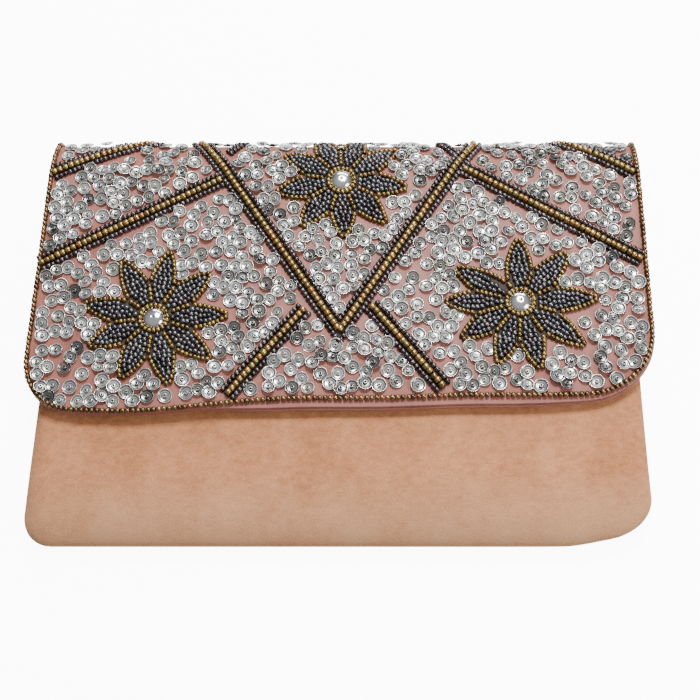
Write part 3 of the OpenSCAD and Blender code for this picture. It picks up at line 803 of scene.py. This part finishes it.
def petal_outline(outline, centre, turn, length, gaps):
    """Both sides of one petal, and the spoke between it and the petal before it."""
    r = np.linspace(6.0, length - 0.8, 90)
    for side, gap in zip((1, -1), gaps):
        w = petal_half(r, length - 0.6, gap)
        free = w < r * math.tan(gap / 2) - PETAL_CLEAR
        path = polar(centre, turn, r[free], side * w[free])
        outline.row(path, OUTLINE_BEAD, BRONZE_TINT, 0.28, 0.08)
    start = r[petal_half(r, length, gaps[0]) < r * math.tan(gaps[0] / 2) - PETAL_CLEAR]
    spoke = np.array([RING_R + 1.9, max(start[0] - 0.6, RING_R + 3.5)])
    path = polar(centre, turn + gaps[0] / 2, spoke, np.zeros(2))
    outline.row(path, OUTLINE_BEAD, BRONZE_TINT, 0.28, 0.08)


def petal_fill(fill, centre, turn, length, gaps):
    """Ranks of beads across one petal, as many as fit between its outline rows."""
    for rank in np.arange(RING_R + 2.3, length - 3.0, RANK_PITCH):
        w = float(min(petal_half(rank, length, gap) for gap in gaps))
        space = 2 * (w - 0.95)
        count = int(space / 1.86)
        if count < 1:
            continue
        t = (np.arange(count) - (count - 1) / 2) * min(space / count, 2.1)
        pts = polar(centre, turn, np.full(count, rank) + 0.25 * np.abs(t) - 0.3, t)
        way = np.tile([math.cos(turn), -math.sin(turn)], (count, 1))
        fill.add(pts, way, PETAL_LONG, PETAL_WIDE, tints(PETAL_TINT, count, 0.34, 0.1), 0.06, 1.0)


def petal_patch(centre, turn, length, gaps):
    """Grid of the painted shade under one petal."""
    r = np.linspace(RING_R, length - 1.2, 24)
    left, right = (petal_half(r, length - 0.6, gap) for gap in gaps)
    t = np.stack([left + 0.35, left / 2, 0 * r, -right / 2, -right - 0.35], 1)
    grid = polar(centre, turn, np.repeat(r[:, None], 5, 1), t)
    return grid[..., 0], grid[..., 1]


def build_stone(node, centre):
    """Domed mirror in the middle of a flower."""
    profile = [(0.05, 0.1), (STONE_R, 0.1)] + [
        (max(STONE_R * math.cos(v) ** 0.9, 0.05), 0.45 + (STONE_H - 0.45) * math.sin(v))
        for v in np.linspace(0, math.pi / 2, 9)]
    p, n = skin(*centre)
    across = np.array([1.0, 0, 0])
    stone = stamp(title(node) + "_stone", lathe(profile, 40), p[None], across[None],
                  np.cross(n, across)[None], n[None], np.ones(3), np.ones((1, 3)), STONE)
    finish_piece(stone, "flap", [node + "_stone"])


def build_flower(name):
    centre, turns, lengths, before, after = petal_sets[name]
    outline, fill, ring = Beads(), Beads(), Beads()
    patches = []
    for turn, length, *gaps in zip(turns, lengths, before, after):
        petal_outline(outline, centre, turn, length, gaps)
        petal_fill(fill, centre, turn, length, gaps)
        patches.append(petal_patch(centre, turn, length, gaps))
    a = np.linspace(0, 2 * math.pi, 60)
    circle = centre + RING_R * np.stack([np.cos(a), np.sin(a)], -1)
    ring.row(circle, OUTLINE_BEAD, BRONZE_TINT * 1.25, 0.2)
    # The painted shade also fills the ring round the stone.
    r, turn = np.meshgrid([STONE_R - 1.0, RING_R + 2.6], np.linspace(0, 2 * math.pi, 48))
    patches.append((centre[0] + r * np.cos(turn), centre[1] - r * np.sin(turn)))
    node = "flower_" + name
    shade_sheet(title(node) + "_ground", patches)
    for part, beads, material, slot in (("_outline", outline, GOLD, "gold_beads"),
                                        ("_petals", fill, GUNMETAL, "gunmetal_beads"),
                                        ("_ring", ring, GOLD, "gold_beads")):
        build_beads(title(node) + part, beads, SMALL_BEAD, material, [node + part])
    build_stone(node, centre)


for name in FLOWERS:
    build_flower(name)

# ---- Sequins ----
SEQUIN_R = 3.0
CUP_APART, DARTS = 4.5, 60000
# Least distances from a sequin's centre to a row or ring, a side and the lower edge row
CLEAR_ROW, CLEAR_SIDE, CLEAR_LOW = 2.5, 4.1, 3.9
CUP_LIFT, BEAD_LIFT = 0.25, 0.62
# radius, height and shade from the hole out over the ridges to the rim, then back under the cup. The shade is
# painted light: painted highlights on the ridges and rim, and painted shade in the grooves, round the hole and
# under the cup. Clipped to 1, it also sets how solid each ring is.
CUP_RINGS = [
    (0.45, 0.0, 0.2), (0.92, 0.02, 0.28), (1.16, 0.2, 1.2), (1.46, 0.1, 0.3), (1.86, 0.36, 1.1),
    (2.24, 0.34, 0.25), (2.58, 0.62, 0.5), (2.8, 0.84, 1.4), (3.0, 0.78, 1.3), (2.6, 0.42, 0.45),
    (1.3, -0.08, 0.3), (0.45, -0.12, 0.2)][::-1]
CUP_SIDES = 20
CUP = lathe([ring[:2] for ring in CUP_RINGS], CUP_SIDES)
CUP_SHADE = np.repeat([ring[2] for ring in CUP_RINGS], CUP_SIDES)


def segment_gap(p, a, b):
    """Distance of each point from the straight line between a and b."""
    a, b = np.asarray(a, float), np.asarray(b, float)
    t = np.clip(((p - a) @ (b - a)) / ((b - a) @ (b - a)), 0, 1)
    return np.linalg.norm(p - (a + t[:, None] * (b - a)), axis=1)


def sequin_room(p):
    """True where a sequin's centre may be: off the rows, the flowers and the edge row."""
    ok = p[:, 1] > S_STEP + 0.4
    up = np.array([0, -10])
    lines = [(APEX, CHEVRON_L), (APEX, CHEVRON_R), LONG_L, LONG_R, CORNER_LINE_L, CORNER_LINE_R,
             STUB_L, STUB_R, CROSS_L, CROSS_R]
    lines += [(end, end + up) for end in (CHEVRON_L, CHEVRON_R)]
    lines += [(line[1], (line[1][0], -9)) for line in (CORNER_LINE_L, CORNER_LINE_R)]
    for a, b in lines:
        ok &= segment_gap(p, a, b) > FLANK + CLEAR_ROW
    for centre, turns, lengths, before, after in petal_sets.values():
        d = p - centre
        r, turn = np.hypot(d[:, 0], d[:, 1]), np.arctan2(-d[:, 1], d[:, 0])
        ok &= r > RING_R + CLEAR_ROW
        for t0, length, gap_l, gap_r in zip(turns, lengths, before, after):
            off = turn - t0
            along, across = r * np.cos(off), np.abs(r * np.sin(off))
            wide = petal_half(np.clip(along, 4.3, length), length, max(gap_l, gap_r)) + 0.9 + 1.7
            ok &= ~((along > 0) & (along < length + 2.4) & (across < wide))
    low = low_edge(p[:, 0])
    left, right = flap_sides(p[:, 1] * FLAP_REACH / low, 0)
    ok &= (p[:, 0] > left + CLEAR_SIDE) & (p[:, 0] < right - CLEAR_SIDE) & (p[:, 1] < low - CLEAR_LOW)
    return ok


def scatter(apart, tries):
    """Darts thrown over the flap: a dart stays if it has room and none is closer than apart."""
    darts = np.stack([rng.uniform(-122, 122, tries), rng.uniform(0, 126, tries)], -1)
    kept, cells = [], {}
    for x, s in darts[sequin_room(darts)]:
        column, row = int(x // apart), int(s // apart)
        near = [q for i in (-1, 0, 1) for j in (-1, 0, 1) for q in cells.get((column + i, row + j), ())]
        if all((x - q[0]) ** 2 + (s - q[1]) ** 2 > apart * apart for q in near):
            cells.setdefault((column, row), []).append((x, s))
            kept.append((x, s))
    return np.array(kept)


def field_of(p):
    """Which field each sequin is in, by the side of each row that it lies on."""
    def right_of(a, b):
        a, b = np.asarray(a, float), np.asarray(b, float)
        return (b[0] - a[0]) * (p[:, 1] - a[1]) - (b[1] - a[1]) * (p[:, 0] - a[0]) > 0

    on_left, on_right = p[:, 0] < 0, p[:, 0] > 0
    inside = ~right_of(CHEVRON_L, APEX) & right_of(CHEVRON_R, APEX)
    corner = (~right_of(*CORNER_LINE_L) & on_left) | (right_of(*CORNER_LINE_R) & on_right)
    between = ~right_of(*STUB_L) & right_of(*STUB_R)
    names = np.where(on_left, "sequins_left_band", "sequins_right_band").astype("<U20")
    names[on_left & right_of(*LONG_L)] = "sequins_left"
    names[on_right & ~right_of(*LONG_R)] = "sequins_right"
    names[between & (p[:, 1] > 80)] = "sequins_lower"
    names[corner] = "sequins_corners"
    names[inside] = "sequins_centre"
    return names


def settle(cups):
    """Height and lean of each cup: one that lies over others sits higher and tips away from them."""
    rise = np.zeros(len(cups))
    lean = rng.normal(0, 0.12, (len(cups), 2)) * (0.3 + 0.7 * smooth((cups[:, 1:] - 3) / 12))
    for i, cup in enumerate(cups):
        near = np.flatnonzero(np.hypot(*(cups[:i] - cup).T) < 2 * SEQUIN_R - 0.1)
        if len(near):
            rise[i] = min(rise[near].max() + 0.34, 1.1)
            lean[i] -= unit((cup - cups[near]).mean(0)[None])[0] * 0.12
    return rise, lean


CENTRE_BEAD = bead_template(8, 12, 0.24)
# Painted shade: the inside of each centre bead's hole is painted near black.
CENTRE_SHADE = np.where(np.hypot(*CENTRE_BEAD[0][:, 1:].T) < 0.26, 0.06, 1.0)
CENTRE_SIZE = [1.1, 1.75, 1.75]
cups = scatter(CUP_APART, DARTS)
cup_rise, cup_lean = settle(cups)
# Each cup's brightness varies at random, and painted shade makes the cups darker towards the crest of the
# fold.
cup_tone_and_crest_shade = rng.normal(0.74, 0.32, (len(cups), 1)) + 0.26 * smooth(cups[:, 1:] / 70) - 0.1
cup_tint = SEQUIN_TINT * cup_tone_and_crest_shade.clip(0.22, 1.25) * rng.normal(1, 0.02, (len(cups), 3))
cup_size = rng.normal(0.95, 0.055, len(cups)).clip(0.80, 1.03)


def build_sequins(name, pick, body=None, nodes=(), blend=None):
    """Cups of one field, and the clear bead that holds each."""
    at, lean = cups[pick], cup_lean[pick]
    p, n = skin(at[:, 0], at[:, 1], CUP_LIFT + cup_rise[pick])
    across = np.tile([1.0, 0, 0], (len(at), 1))
    up = unit(n + across * lean[:, :1] + flow(at[:, 1]) * lean[:, 1:])
    ax = unit(across - up * np.sum(across * up, -1, keepdims=True))
    ay = np.cross(up, ax)
    size = np.repeat(cup_size[pick][:, None], 3, 1)
    field = stamp(name, CUP, p, ax, ay, up, size, cup_tint[pick], SEQUIN, CUP_SHADE)
    finish_piece(field, body, nodes, blend)
    beads = stamp(name + "_beads", CENTRE_BEAD, p + up * BEAD_LIFT, up, ax, ay, CENTRE_SIZE,
                  cup_tint[pick] * 0.75, CLEAR_BEAD, CENTRE_SHADE)
    finish_piece(beads, body, (), blend)


# ---- The fold: bands over one crease each ----
# Each band's two bodies, and where the change from the one to the other starts and ends
FOLD_UPPER = ("fold_upper", "flap", skin(0, S_STEP)[0], skin(0, S_NOSE)[0])
FOLD_MIDDLE = ("fold_lower", "fold_upper", skin(0, -S_STEP)[0], skin(0, S_STEP)[0])
FOLD_LOWER = ("root", "fold_lower", skin(0, -S_NOSE)[0], skin(0, -S_STEP)[0])
# name, from and to in s, blend
ZONES = [("Upper", S_STEP, S_NOSE, FOLD_UPPER), ("Middle", -S_STEP, S_STEP, FOLD_MIDDLE),
         ("Lower", -S_NOSE, -S_STEP, FOLD_LOWER)]
ZONE_NODES = {"Upper": "fold_upper", "Middle": "fold_lower", "Yoke": "back_yoke"}

# Cups near the fold are one piece
fields = field_of(cups)
from_flap = cups[:, 1] >= S_NOSE + 3
for name in sorted(set(fields)):
    build_sequins(title(name), (fields == name) & from_flap, "flap", [name])
build_sequins("SequinsCrest", ~from_flap, blend=FOLD_UPPER)


def fold_cloth(kind, depth, thick, half, material):
    """The three bands of one cloth of the fold, depth below the satin's face."""
    pieces = []
    for zone, s0, s1, blend in ZONES:
        x, s = np.meshgrid(np.linspace(-half, half, 140), np.linspace(s0, s1, 13))
        p, n = skin(x, s, -depth)
        obj = shell(f"Fold{kind.capitalize()}{zone}", p, thick, material, in_cloth(x, s), n, "lr")
        nodes = [f"{ZONE_NODES[zone]}_{kind}"] if zone in ZONE_NODES else ()
        pieces.append(finish_piece(obj, None, nodes, blend))
    return pieces


fold_bands = {
    "satin": fold_cloth("satin", 0.0, FACE_T, FOLD_HALF, SATIN),
    "felt": fold_cloth("felt", FACE_T + SLIP, BOARD_T - 2 * SLIP, FOLD_HALF - 3, FELT),
    "lining": fold_cloth("lining", FACE_T + BOARD_T, LINING_T, FOLD_HALF - 0.4, LINING),
}


def fold_beads(zone, lo, hi, body, blend):
    """Beads that run over one band, one piece for each kind."""
    for material, slot, label in ((GOLD, "gold_beads", "Gold"), (GUNMETAL, "gunmetal_beads", "Gunmetal")):
        parts = []
        for kind, arrays in over_fold:
            s = arrays[0][:, 1]
            pick = (s >= lo) & (s < hi) & (s > S_YOKE + 1.5)
            if kind is material and pick.any():
                parts.append([a[pick] for a in arrays])
        if parts:
            arrays = [np.concatenate(group) for group in zip(*parts)]
            obj = place_beads(f"Fold{label}{zone}", SMALL_BEAD, material, arrays)
            named = zone in ZONE_NODES and material is GUNMETAL
            finish_piece(obj, body, [ZONE_NODES[zone] + "_beads"] if named else (), blend)


def flap_sheet(kind, grow, lip_scale, depth, thick, material):
    """One layer of the flap, depth below the satin's face and grow wider than it."""
    x, s = flap_grid(grow, lip_scale, S_NOSE)
    p, n = skin(x, s, -depth)
    soft = grid_normals(p)
    soft = soft * np.sign(np.mean(soft[..., 2]))
    soft[:3] = n[:3]  # meets the fold's band without a crease
    obj = shell("Flap" + kind.capitalize(), p, thick, material, in_cloth(x, s), soft, "blr")
    finish_piece(obj, "flap", ["flap_" + kind])


flap_sheet("satin", 0.0, 1.0, 0.0, FACE_T, SATIN)
flap_sheet("board", -3.0, 1.0, FACE_T + SLIP, BOARD_T - 0.3, BOARD)
flap_sheet("lining", 0.1, 1.22, FACE_T + 0.35, STACK_T - FACE_T - 0.35, SATIN)


def build_yoke():
    """The satin between the fold and the velvet back."""
    x, s = np.meshgrid(np.linspace(-FOLD_HALF, FOLD_HALF, 140), np.linspace(S_YOKE, -S_NOSE, 24))
    p, n = skin(x, s)
    obj = shell("BackYoke", p, FACE_T, SATIN, in_cloth(x, s), n, "tlr")
    return finish_piece(obj, "root", ["back_yoke_satin"])


yoke = build_yoke()
for zone, s0, s1, blend in ZONES:
    fold_beads(zone, s0, s1, None, blend)
fold_beads("Yoke", -np.inf, -S_NOSE, "root", None)

# ---- Body panels ----


def body_half(y):
    """Half width of the body at height y, before its corners are rounded."""
    return BODY_W / 2 - BODY_TAPER / 2 * np.clip((y - LOW_Y) / (CREST_Y - LOW_Y), 0, 1)


def body_sides(y, inset):
    """Left and right x of the body at height y, with round lower corners."""
    return [sign * rounded_side(body_half(y) - inset, r, LOW_Y + inset + r - y)
            for sign, r in ((-1, max(CORNER_L - inset, 3.0)), (1, max(CORNER_R - inset, 3.0)))]


def edge_gap(x, y):
    """Distance in from the body's outline, side seams and bottom seam."""
    r = np.where(x < 0, CORNER_L, CORNER_R)
    dx, dy = body_half(y) - np.abs(x), y - LOW_Y
    corner = (dx < r) & (dy < r)
    return np.where(corner, r - np.hypot(r - dx, r - dy), np.minimum(dx, dy))


def rolled(gap, reach, power=2.25):
    """Height of a soft edge, 0 at the seam and 1 from reach inwards."""
    t = np.clip(gap / reach, 0, 1)
    return (1 - (1 - t) ** power) ** (1 / power)


def panel_grid(y0, y1, inset, rows=100, cols=170):
    """Grid over a panel in (x, y), from y0 or the bottom seam up to y1."""
    even = np.linspace(0, 1, rows)
    u = closer_at_sides(cols, 0.62)
    if y0 is None:
        v = 0.5 * (1 - np.cos(even * math.pi / 2)) + 0.5 * even ** 1.15
        y = LOW_Y + inset + (y1 - LOW_Y - inset) * v
    else:
        y = y0 + (y1 - y0) * even
    return spread_out(body_sides(y, inset), u), np.repeat(y[:, None], cols, 1)


def lifted_corner(x, y):
    """The lower right corner stands up a little."""
    return 1.6 * smooth((x - 70) / 50) * smooth((-30 - y) / 55)


def slumped(x, y):
    """The bottom edge isn't square: lower at the left, and the right corner is pushed up."""
    low = smooth((-12 - y) / 70)
    return y + low * (0.3 + 1.5 * x / 120) + 3.6 * smooth((x - 86) / 28) * smooth((-52 - y) / 34)


def front_height(x, y):
    """The front is crowned, soft at its seams and sags a little at its middle."""
    gap = edge_gap(x, y)
    reach = 9.0 + 8.0 * smooth((LOW_Y + ROLL_H - y) / ROLL_H)
    sag = 0.35 * waves(x, y, 9) * smooth(gap / 20) - 0.5 * smooth(gap / 60) * smooth((20 - y) / 60)
    top = FRONT_Z + sag - 0.35
    seam = SEAM_Z + lifted_corner(x, y)
    return seam + (top - seam) * rolled(gap, reach)


def back_height(x, y):
    """The back lies flat, turns up to the seams, and follows the shoulder at the top."""
    gap = edge_gap(x, y)
    reach = 9.0 + 6.0 * smooth((LOW_Y + ROLL_H - y) / ROLL_H)
    side = (SEAM_Z - 0.1 + lifted_corner(x, y)) * (1 - 0.8 * smooth((y - MOUTH_Y + 12) / 22))
    past = np.maximum(y - SHOULDER_Y, 0)
    level = SHOULDER_R - np.sqrt(np.maximum(SHOULDER_R**2 - past**2, 0))
    return level + (side - level).clip(0) * (1 - rolled(gap, reach))


def seam_normals(p, n):
    """Turns the normals at the bottom and the sides straight out of the outline."""
    n[0] = (0, -1, 0)
    for col, sign in ((0, -1), (-1, 1)):
        along = np.gradient(p[:, col], axis=0)
        across = unit(np.stack([sign * along[:, 1], -sign * along[:, 0], 0 * along[:, 0]], -1))
        n[0, col] = unit(n[0, col] + across[0])
        n[1:, col] = across[1:]


def panel(node, y0, y1, inset, depth, thick, material):
    """One layer of the front or the back, depth inside the velvet's face."""
    front = node.startswith("front")
    x, y = panel_grid(y0, y1, inset)
    p = np.stack([x, slumped(x, y), front_height(x, y) if front else back_height(x, y)], -1)
    n = grid_normals(p)
    n = n * np.sign(np.mean(n[..., 2]) * (1 if front else -1))
    if inset == 0:
        seam_normals(p, n)
    obj = shell(title(node), p - n * depth, thick, material, in_cloth(x, y), n)
    finish_piece(obj, "front" if front else "root", [node])


FACING_H = 18.0
FACING_Y = MOUTH_Y - FACING_H
BOARD_INSET, LINING_INSET, FACING_INSET = 9.0, 4.0, 3.0
# Depths of the layers inside the velvet's face
BOARD_AT, LINING_AT = FACE_T + SLIP, FACE_T + BOARD_T
panel("front_velvet", None, MOUTH_Y, 0, 0, FACE_T, VELVET)
panel("back_velvet", None, YOKE_Y, 0, 0, FACE_T, VELVET)
panel("front_board", None, MOUTH_Y - 3, BOARD_INSET, BOARD_AT, BOARD_T - 2 * SLIP, BOARD)
panel("back_board", None, SHOULDER_Y, BOARD_INSET, BOARD_AT, BOARD_T - 2 * SLIP, BOARD)
for side in ("front", "back"):
    panel(side + "_lining", None, FACING_Y, LINING_INSET, LINING_AT, LINING_T, LINING)
panel("front_facing", FACING_Y, MOUTH_Y - 0.3, FACING_INSET, LINING_AT, LINING_T, VELVET)
panel("back_facing", FACING_Y, YOKE_Y, FACING_INSET, LINING_AT, LINING_T, SATIN)

# ---- Slip pocket with its binding ----
POCKET_LO, POCKET_HI = cad_box("slip_pocket")
BINDING_LO, BINDING_HI = cad_box("pocket_binding")


def pocket_sheet(node, lo, hi, thick, bow, material):
    """Flat cloth over the back lining that bows up by bow in the middle of its mouth."""
    x, y = np.meshgrid(np.linspace(lo[0], hi[0], 70), np.linspace(lo[1], hi[1], 50))
    mid = 1 - ((x - (lo[0] + hi[0]) / 2) / ((hi[0] - lo[0]) / 2)) ** 2
    rise = bow * mid * smooth((y - POCKET_LO[1]) / (BINDING_HI[1] - POCKET_LO[1]))
    p = np.stack([x, y, STACK_T + 0.05 + thick + rise], -1)
    obj = shell(title(node), p, thick, material, in_cloth(x, y), np.tile([0.0, 0, 1.0], (*x.shape, 1)))
    return finish_piece(obj, "root", [node]), p


pocket_top = (POCKET_HI[0], BINDING_HI[1] - 1.0)
pocket, pocket_grid = pocket_sheet("slip_pocket", POCKET_LO, pocket_top, 0.45, 0.5, LINING)
binding, _ = pocket_sheet("pocket_binding", BINDING_LO, BINDING_HI, 0.9, 0.55, SATIN)

# ---- Gussets, folded in like bellows ----


def build_gusset(side, node):
    """Cloth from the back's seam to the front's, deepest at the mouth."""
    lo, hi = cad_box(node)
    outer, inner = (lo[0], hi[0]) if side < 0 else (hi[0], lo[0])
    t = np.linspace(-1, 1, 41)
    y = np.linspace(hi[1], lo[1], 60)[:, None] + 0 * t
    depth = (inner - outer) * (1 - 0.55 * smooth((lo[1] + 50 - y) / 50))
    x = outer + depth * (1 - np.abs(t) ** 1.5)
    z = (lo[2] + hi[2]) / 2 + t * (hi[2] - lo[2]) / 2 + 0 * y
    p = np.stack([x, y, z], -1)
    obj = shell(title(node), p, LINING_T, LINING, in_cloth(z * 2, y),
                grid_normals(p) * -side)
    ends = [(0, 0, lo[2] + 1.2), (0, 0, hi[2] - 1.2)]
    finish_piece(obj, None, [node], ("root", "front", *ends))


build_gusset(-1, "gusset_left")
build_gusset(1, "gusset_right")

# ---- Magnetic snap ----


def turned(node, profile, material, slot, body):
    """One part of the snap, turned about its axis."""
    v, q = lathe(profile, 48)
    finish_piece(new_mesh(title(node), v + [0, SNAP_Y, 0], q, material), body, [node])


def ring_profile(r_in, r_out, z0, z1, b):
    """Ring with small rounded edges, or a disc if r_in is nearly nothing."""
    return [(r_in, z0), (r_out - b, z0), (r_out - 0.3 * b, z0 + 0.3 * b), (r_out, z0 + b), (r_out, z1 - b),
            (r_out - 0.3 * b, z1 - 0.3 * b), (r_out - b, z1), (r_in, z1)]


def build_snap():
    """The socket is a cap over a magnet on the front, and the stud's post drops into its bore."""
    axis = 0.02
    boxes = [cad_box(node) for node in SNAP_NODES]
    (socket_lo, socket_hi), (magnet_lo, magnet_hi), (washer_lo, washer_hi) = boxes[:3]
    (stud_lo, stud_hi), (cover_lo, cover_hi) = boxes[3:]
    cap_r, base, top = (socket_hi[0] - socket_lo[0]) / 2, socket_lo[2], socket_hi[2]
    bore, post, rivet, wall = 2.3, 2.0, 1.5, 0.3
    socket = [(bore, top - wall), (bore, top), (cap_r - 0.7, top), (cap_r - 0.2, top - 0.2),
              (cap_r, top - 0.7), (cap_r, base), (axis, base), (axis, base + wall),
              (cap_r - wall, base + wall), (cap_r - wall, top - wall)][::-1]
    magnet = ring_profile(bore, cap_r - 0.35, magnet_lo[2], magnet_hi[2], 0.15)
    washer = ring_profile(axis, washer_hi[0], washer_lo[2], washer_lo[2] + 0.5, 0.12)
    under, tip, end = TOP_Z - STACK_T, stud_lo[2], stud_hi[2]
    stud = [(axis, tip), (post - 0.5, tip), (post - 0.1, tip + 0.2), (post, tip + 0.6),
            (post, under - 1.3), (cap_r - 0.5, under - 1.3), (cap_r - 0.1, under - 1.1),
            (cap_r, under - 0.8), (cap_r, under - 0.1), (rivet, under - 0.1), (rivet, end), (axis, end)]
    cover = ring_profile(axis, cover_hi[0], cover_lo[2], cover_hi[2] - 0.05, 0.1)
    for node, profile in zip(SNAP_NODES, (socket, magnet, washer, stud, cover)):
        metal = (MAGNET, "magnet") if profile is magnet else (NICKEL, "snap_metal")
        turned(node, profile, *metal, "flap" if "stud" in node else "front")


SNAP_Y = float(np.mean([c[1] for c in cad_box("snap_socket")]))
SNAP_NODES = ["snap_socket", "snap_magnet", "snap_socket_washer", "snap_stud", "snap_stud_washer"]
build_snap()

# ---- Floor, light and camera ----
FLOOR_GLOW, SKY_GLOW, SKY_LIGHT = 10.0, 12.0, 0.42


def build_floor():
    """White floor just under the bag, which glows only for the camera."""
    m = Material("floor")
    m.set(Base_Color=(0.93, 0.93, 0.93, 1), Roughness=0.6, Emission_Color=(1, 1, 1, 1))
    seen = m.add("ShaderNodeLightPath").outputs["Is Camera Ray"]
    m.link(m.math("MULTIPLY", seen, FLOOR_GLOW), m.bsdf.inputs["Emission Strength"])
    bpy.ops.mesh.primitive_plane_add(size=6, location=(0, 0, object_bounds()[0][2] - 0.0001))
    floor = bpy.context.object
    floor.name = "Floor"
    floor.data.materials.append(m.mat)


def build_world():
    """Soft light, brighter from above, behind a white that only the camera sees."""
    world = bpy.data.worlds.new("Studio")
    bpy.context.scene.world = world
    world.use_nodes = True
    sky = Tree(world.node_tree)
    light = world.node_tree.nodes["Background"]
    split = sky.add("ShaderNodeSeparateXYZ")
    sky.link(sky.add("ShaderNodeTexCoord").outputs["Generated"], split.inputs[0])
    sky.link(sky.ramp(split.outputs["Z"], [(0.0, grey(0.05)), (0.92, grey(1.0))]), light.inputs["Color"])
    light.inputs["Strength"].default_value = SKY_LIGHT
    pale = sky.add("ShaderNodeBackground", Color=(1, 1, 1, 1), Strength=SKY_GLOW)
    both = sky.add("ShaderNodeMixShader")
    sky.link(sky.add("ShaderNodeLightPath").outputs["Is Camera Ray"], both.inputs["Fac"])
    sky.link(light.outputs["Background"], both.inputs[1])
    sky.link(pale.outputs["Background"], both.inputs[2])
    sky.link(both.outputs["Shader"], world.node_tree.nodes["World Output"].inputs["Surface"])


def area(name, place, target, width, depth, power):
    """Area light in metres and watts, turned towards its target."""
    light = bpy.data.lights.new(name, "AREA")
    light.shape, light.size, light.size_y, light.energy = "RECTANGLE", width, depth, power
    obj = bpy.data.objects.new(name, light)
    bpy.context.scene.collection.objects.link(obj)
    obj.location = place
    obj.rotation_euler = (Vector(target) - Vector(place)).to_track_quat("-Z", "Y").to_euler()

def build_camera():
    """Seen from above, a little from the bottom edge, turned slightly."""
    aim, distance = Vector((4.36, -6.96, 7.64)) * MM, 448.5 * MM
    rise, yaw, roll = (math.radians(turn) for turn in (70, 6.06, -5.34))
    away = Vector((math.sin(yaw) * math.cos(rise), -math.cos(yaw) * math.cos(rise), math.sin(rise)))
    right = (-away).cross(Vector((0, 0, 1))).normalized()
    up = right.cross(-away)
    across = right * math.cos(roll) + up * math.sin(roll)
    upwards = up * math.cos(roll) - right * math.sin(roll)
    data = bpy.data.cameras.new("Camera")
    data.lens, data.sensor_width = 56.84, 36
    camera = bpy.data.objects.new("Camera", data)
    bpy.context.scene.collection.objects.link(camera)
    turn = Matrix((across, upwards, away)).transposed().to_4x4()
    camera.matrix_world = Matrix.Translation(aim + away * distance) @ turn
    bpy.context.scene.camera = camera


build_floor()
build_world()
area("Key", (0.10, 0.45, 0.85), (0, 0, 0), 0.28, 0.28, 14)
area("Fill", (0.7, -0.3, 0.6), (0, 0, 0), 0.4, 0.4, 6)
area("Back", (0.1, 0.9, 0.5), (0, 0.05, 0), 0.8, 0.2, 4.5)
build_camera()
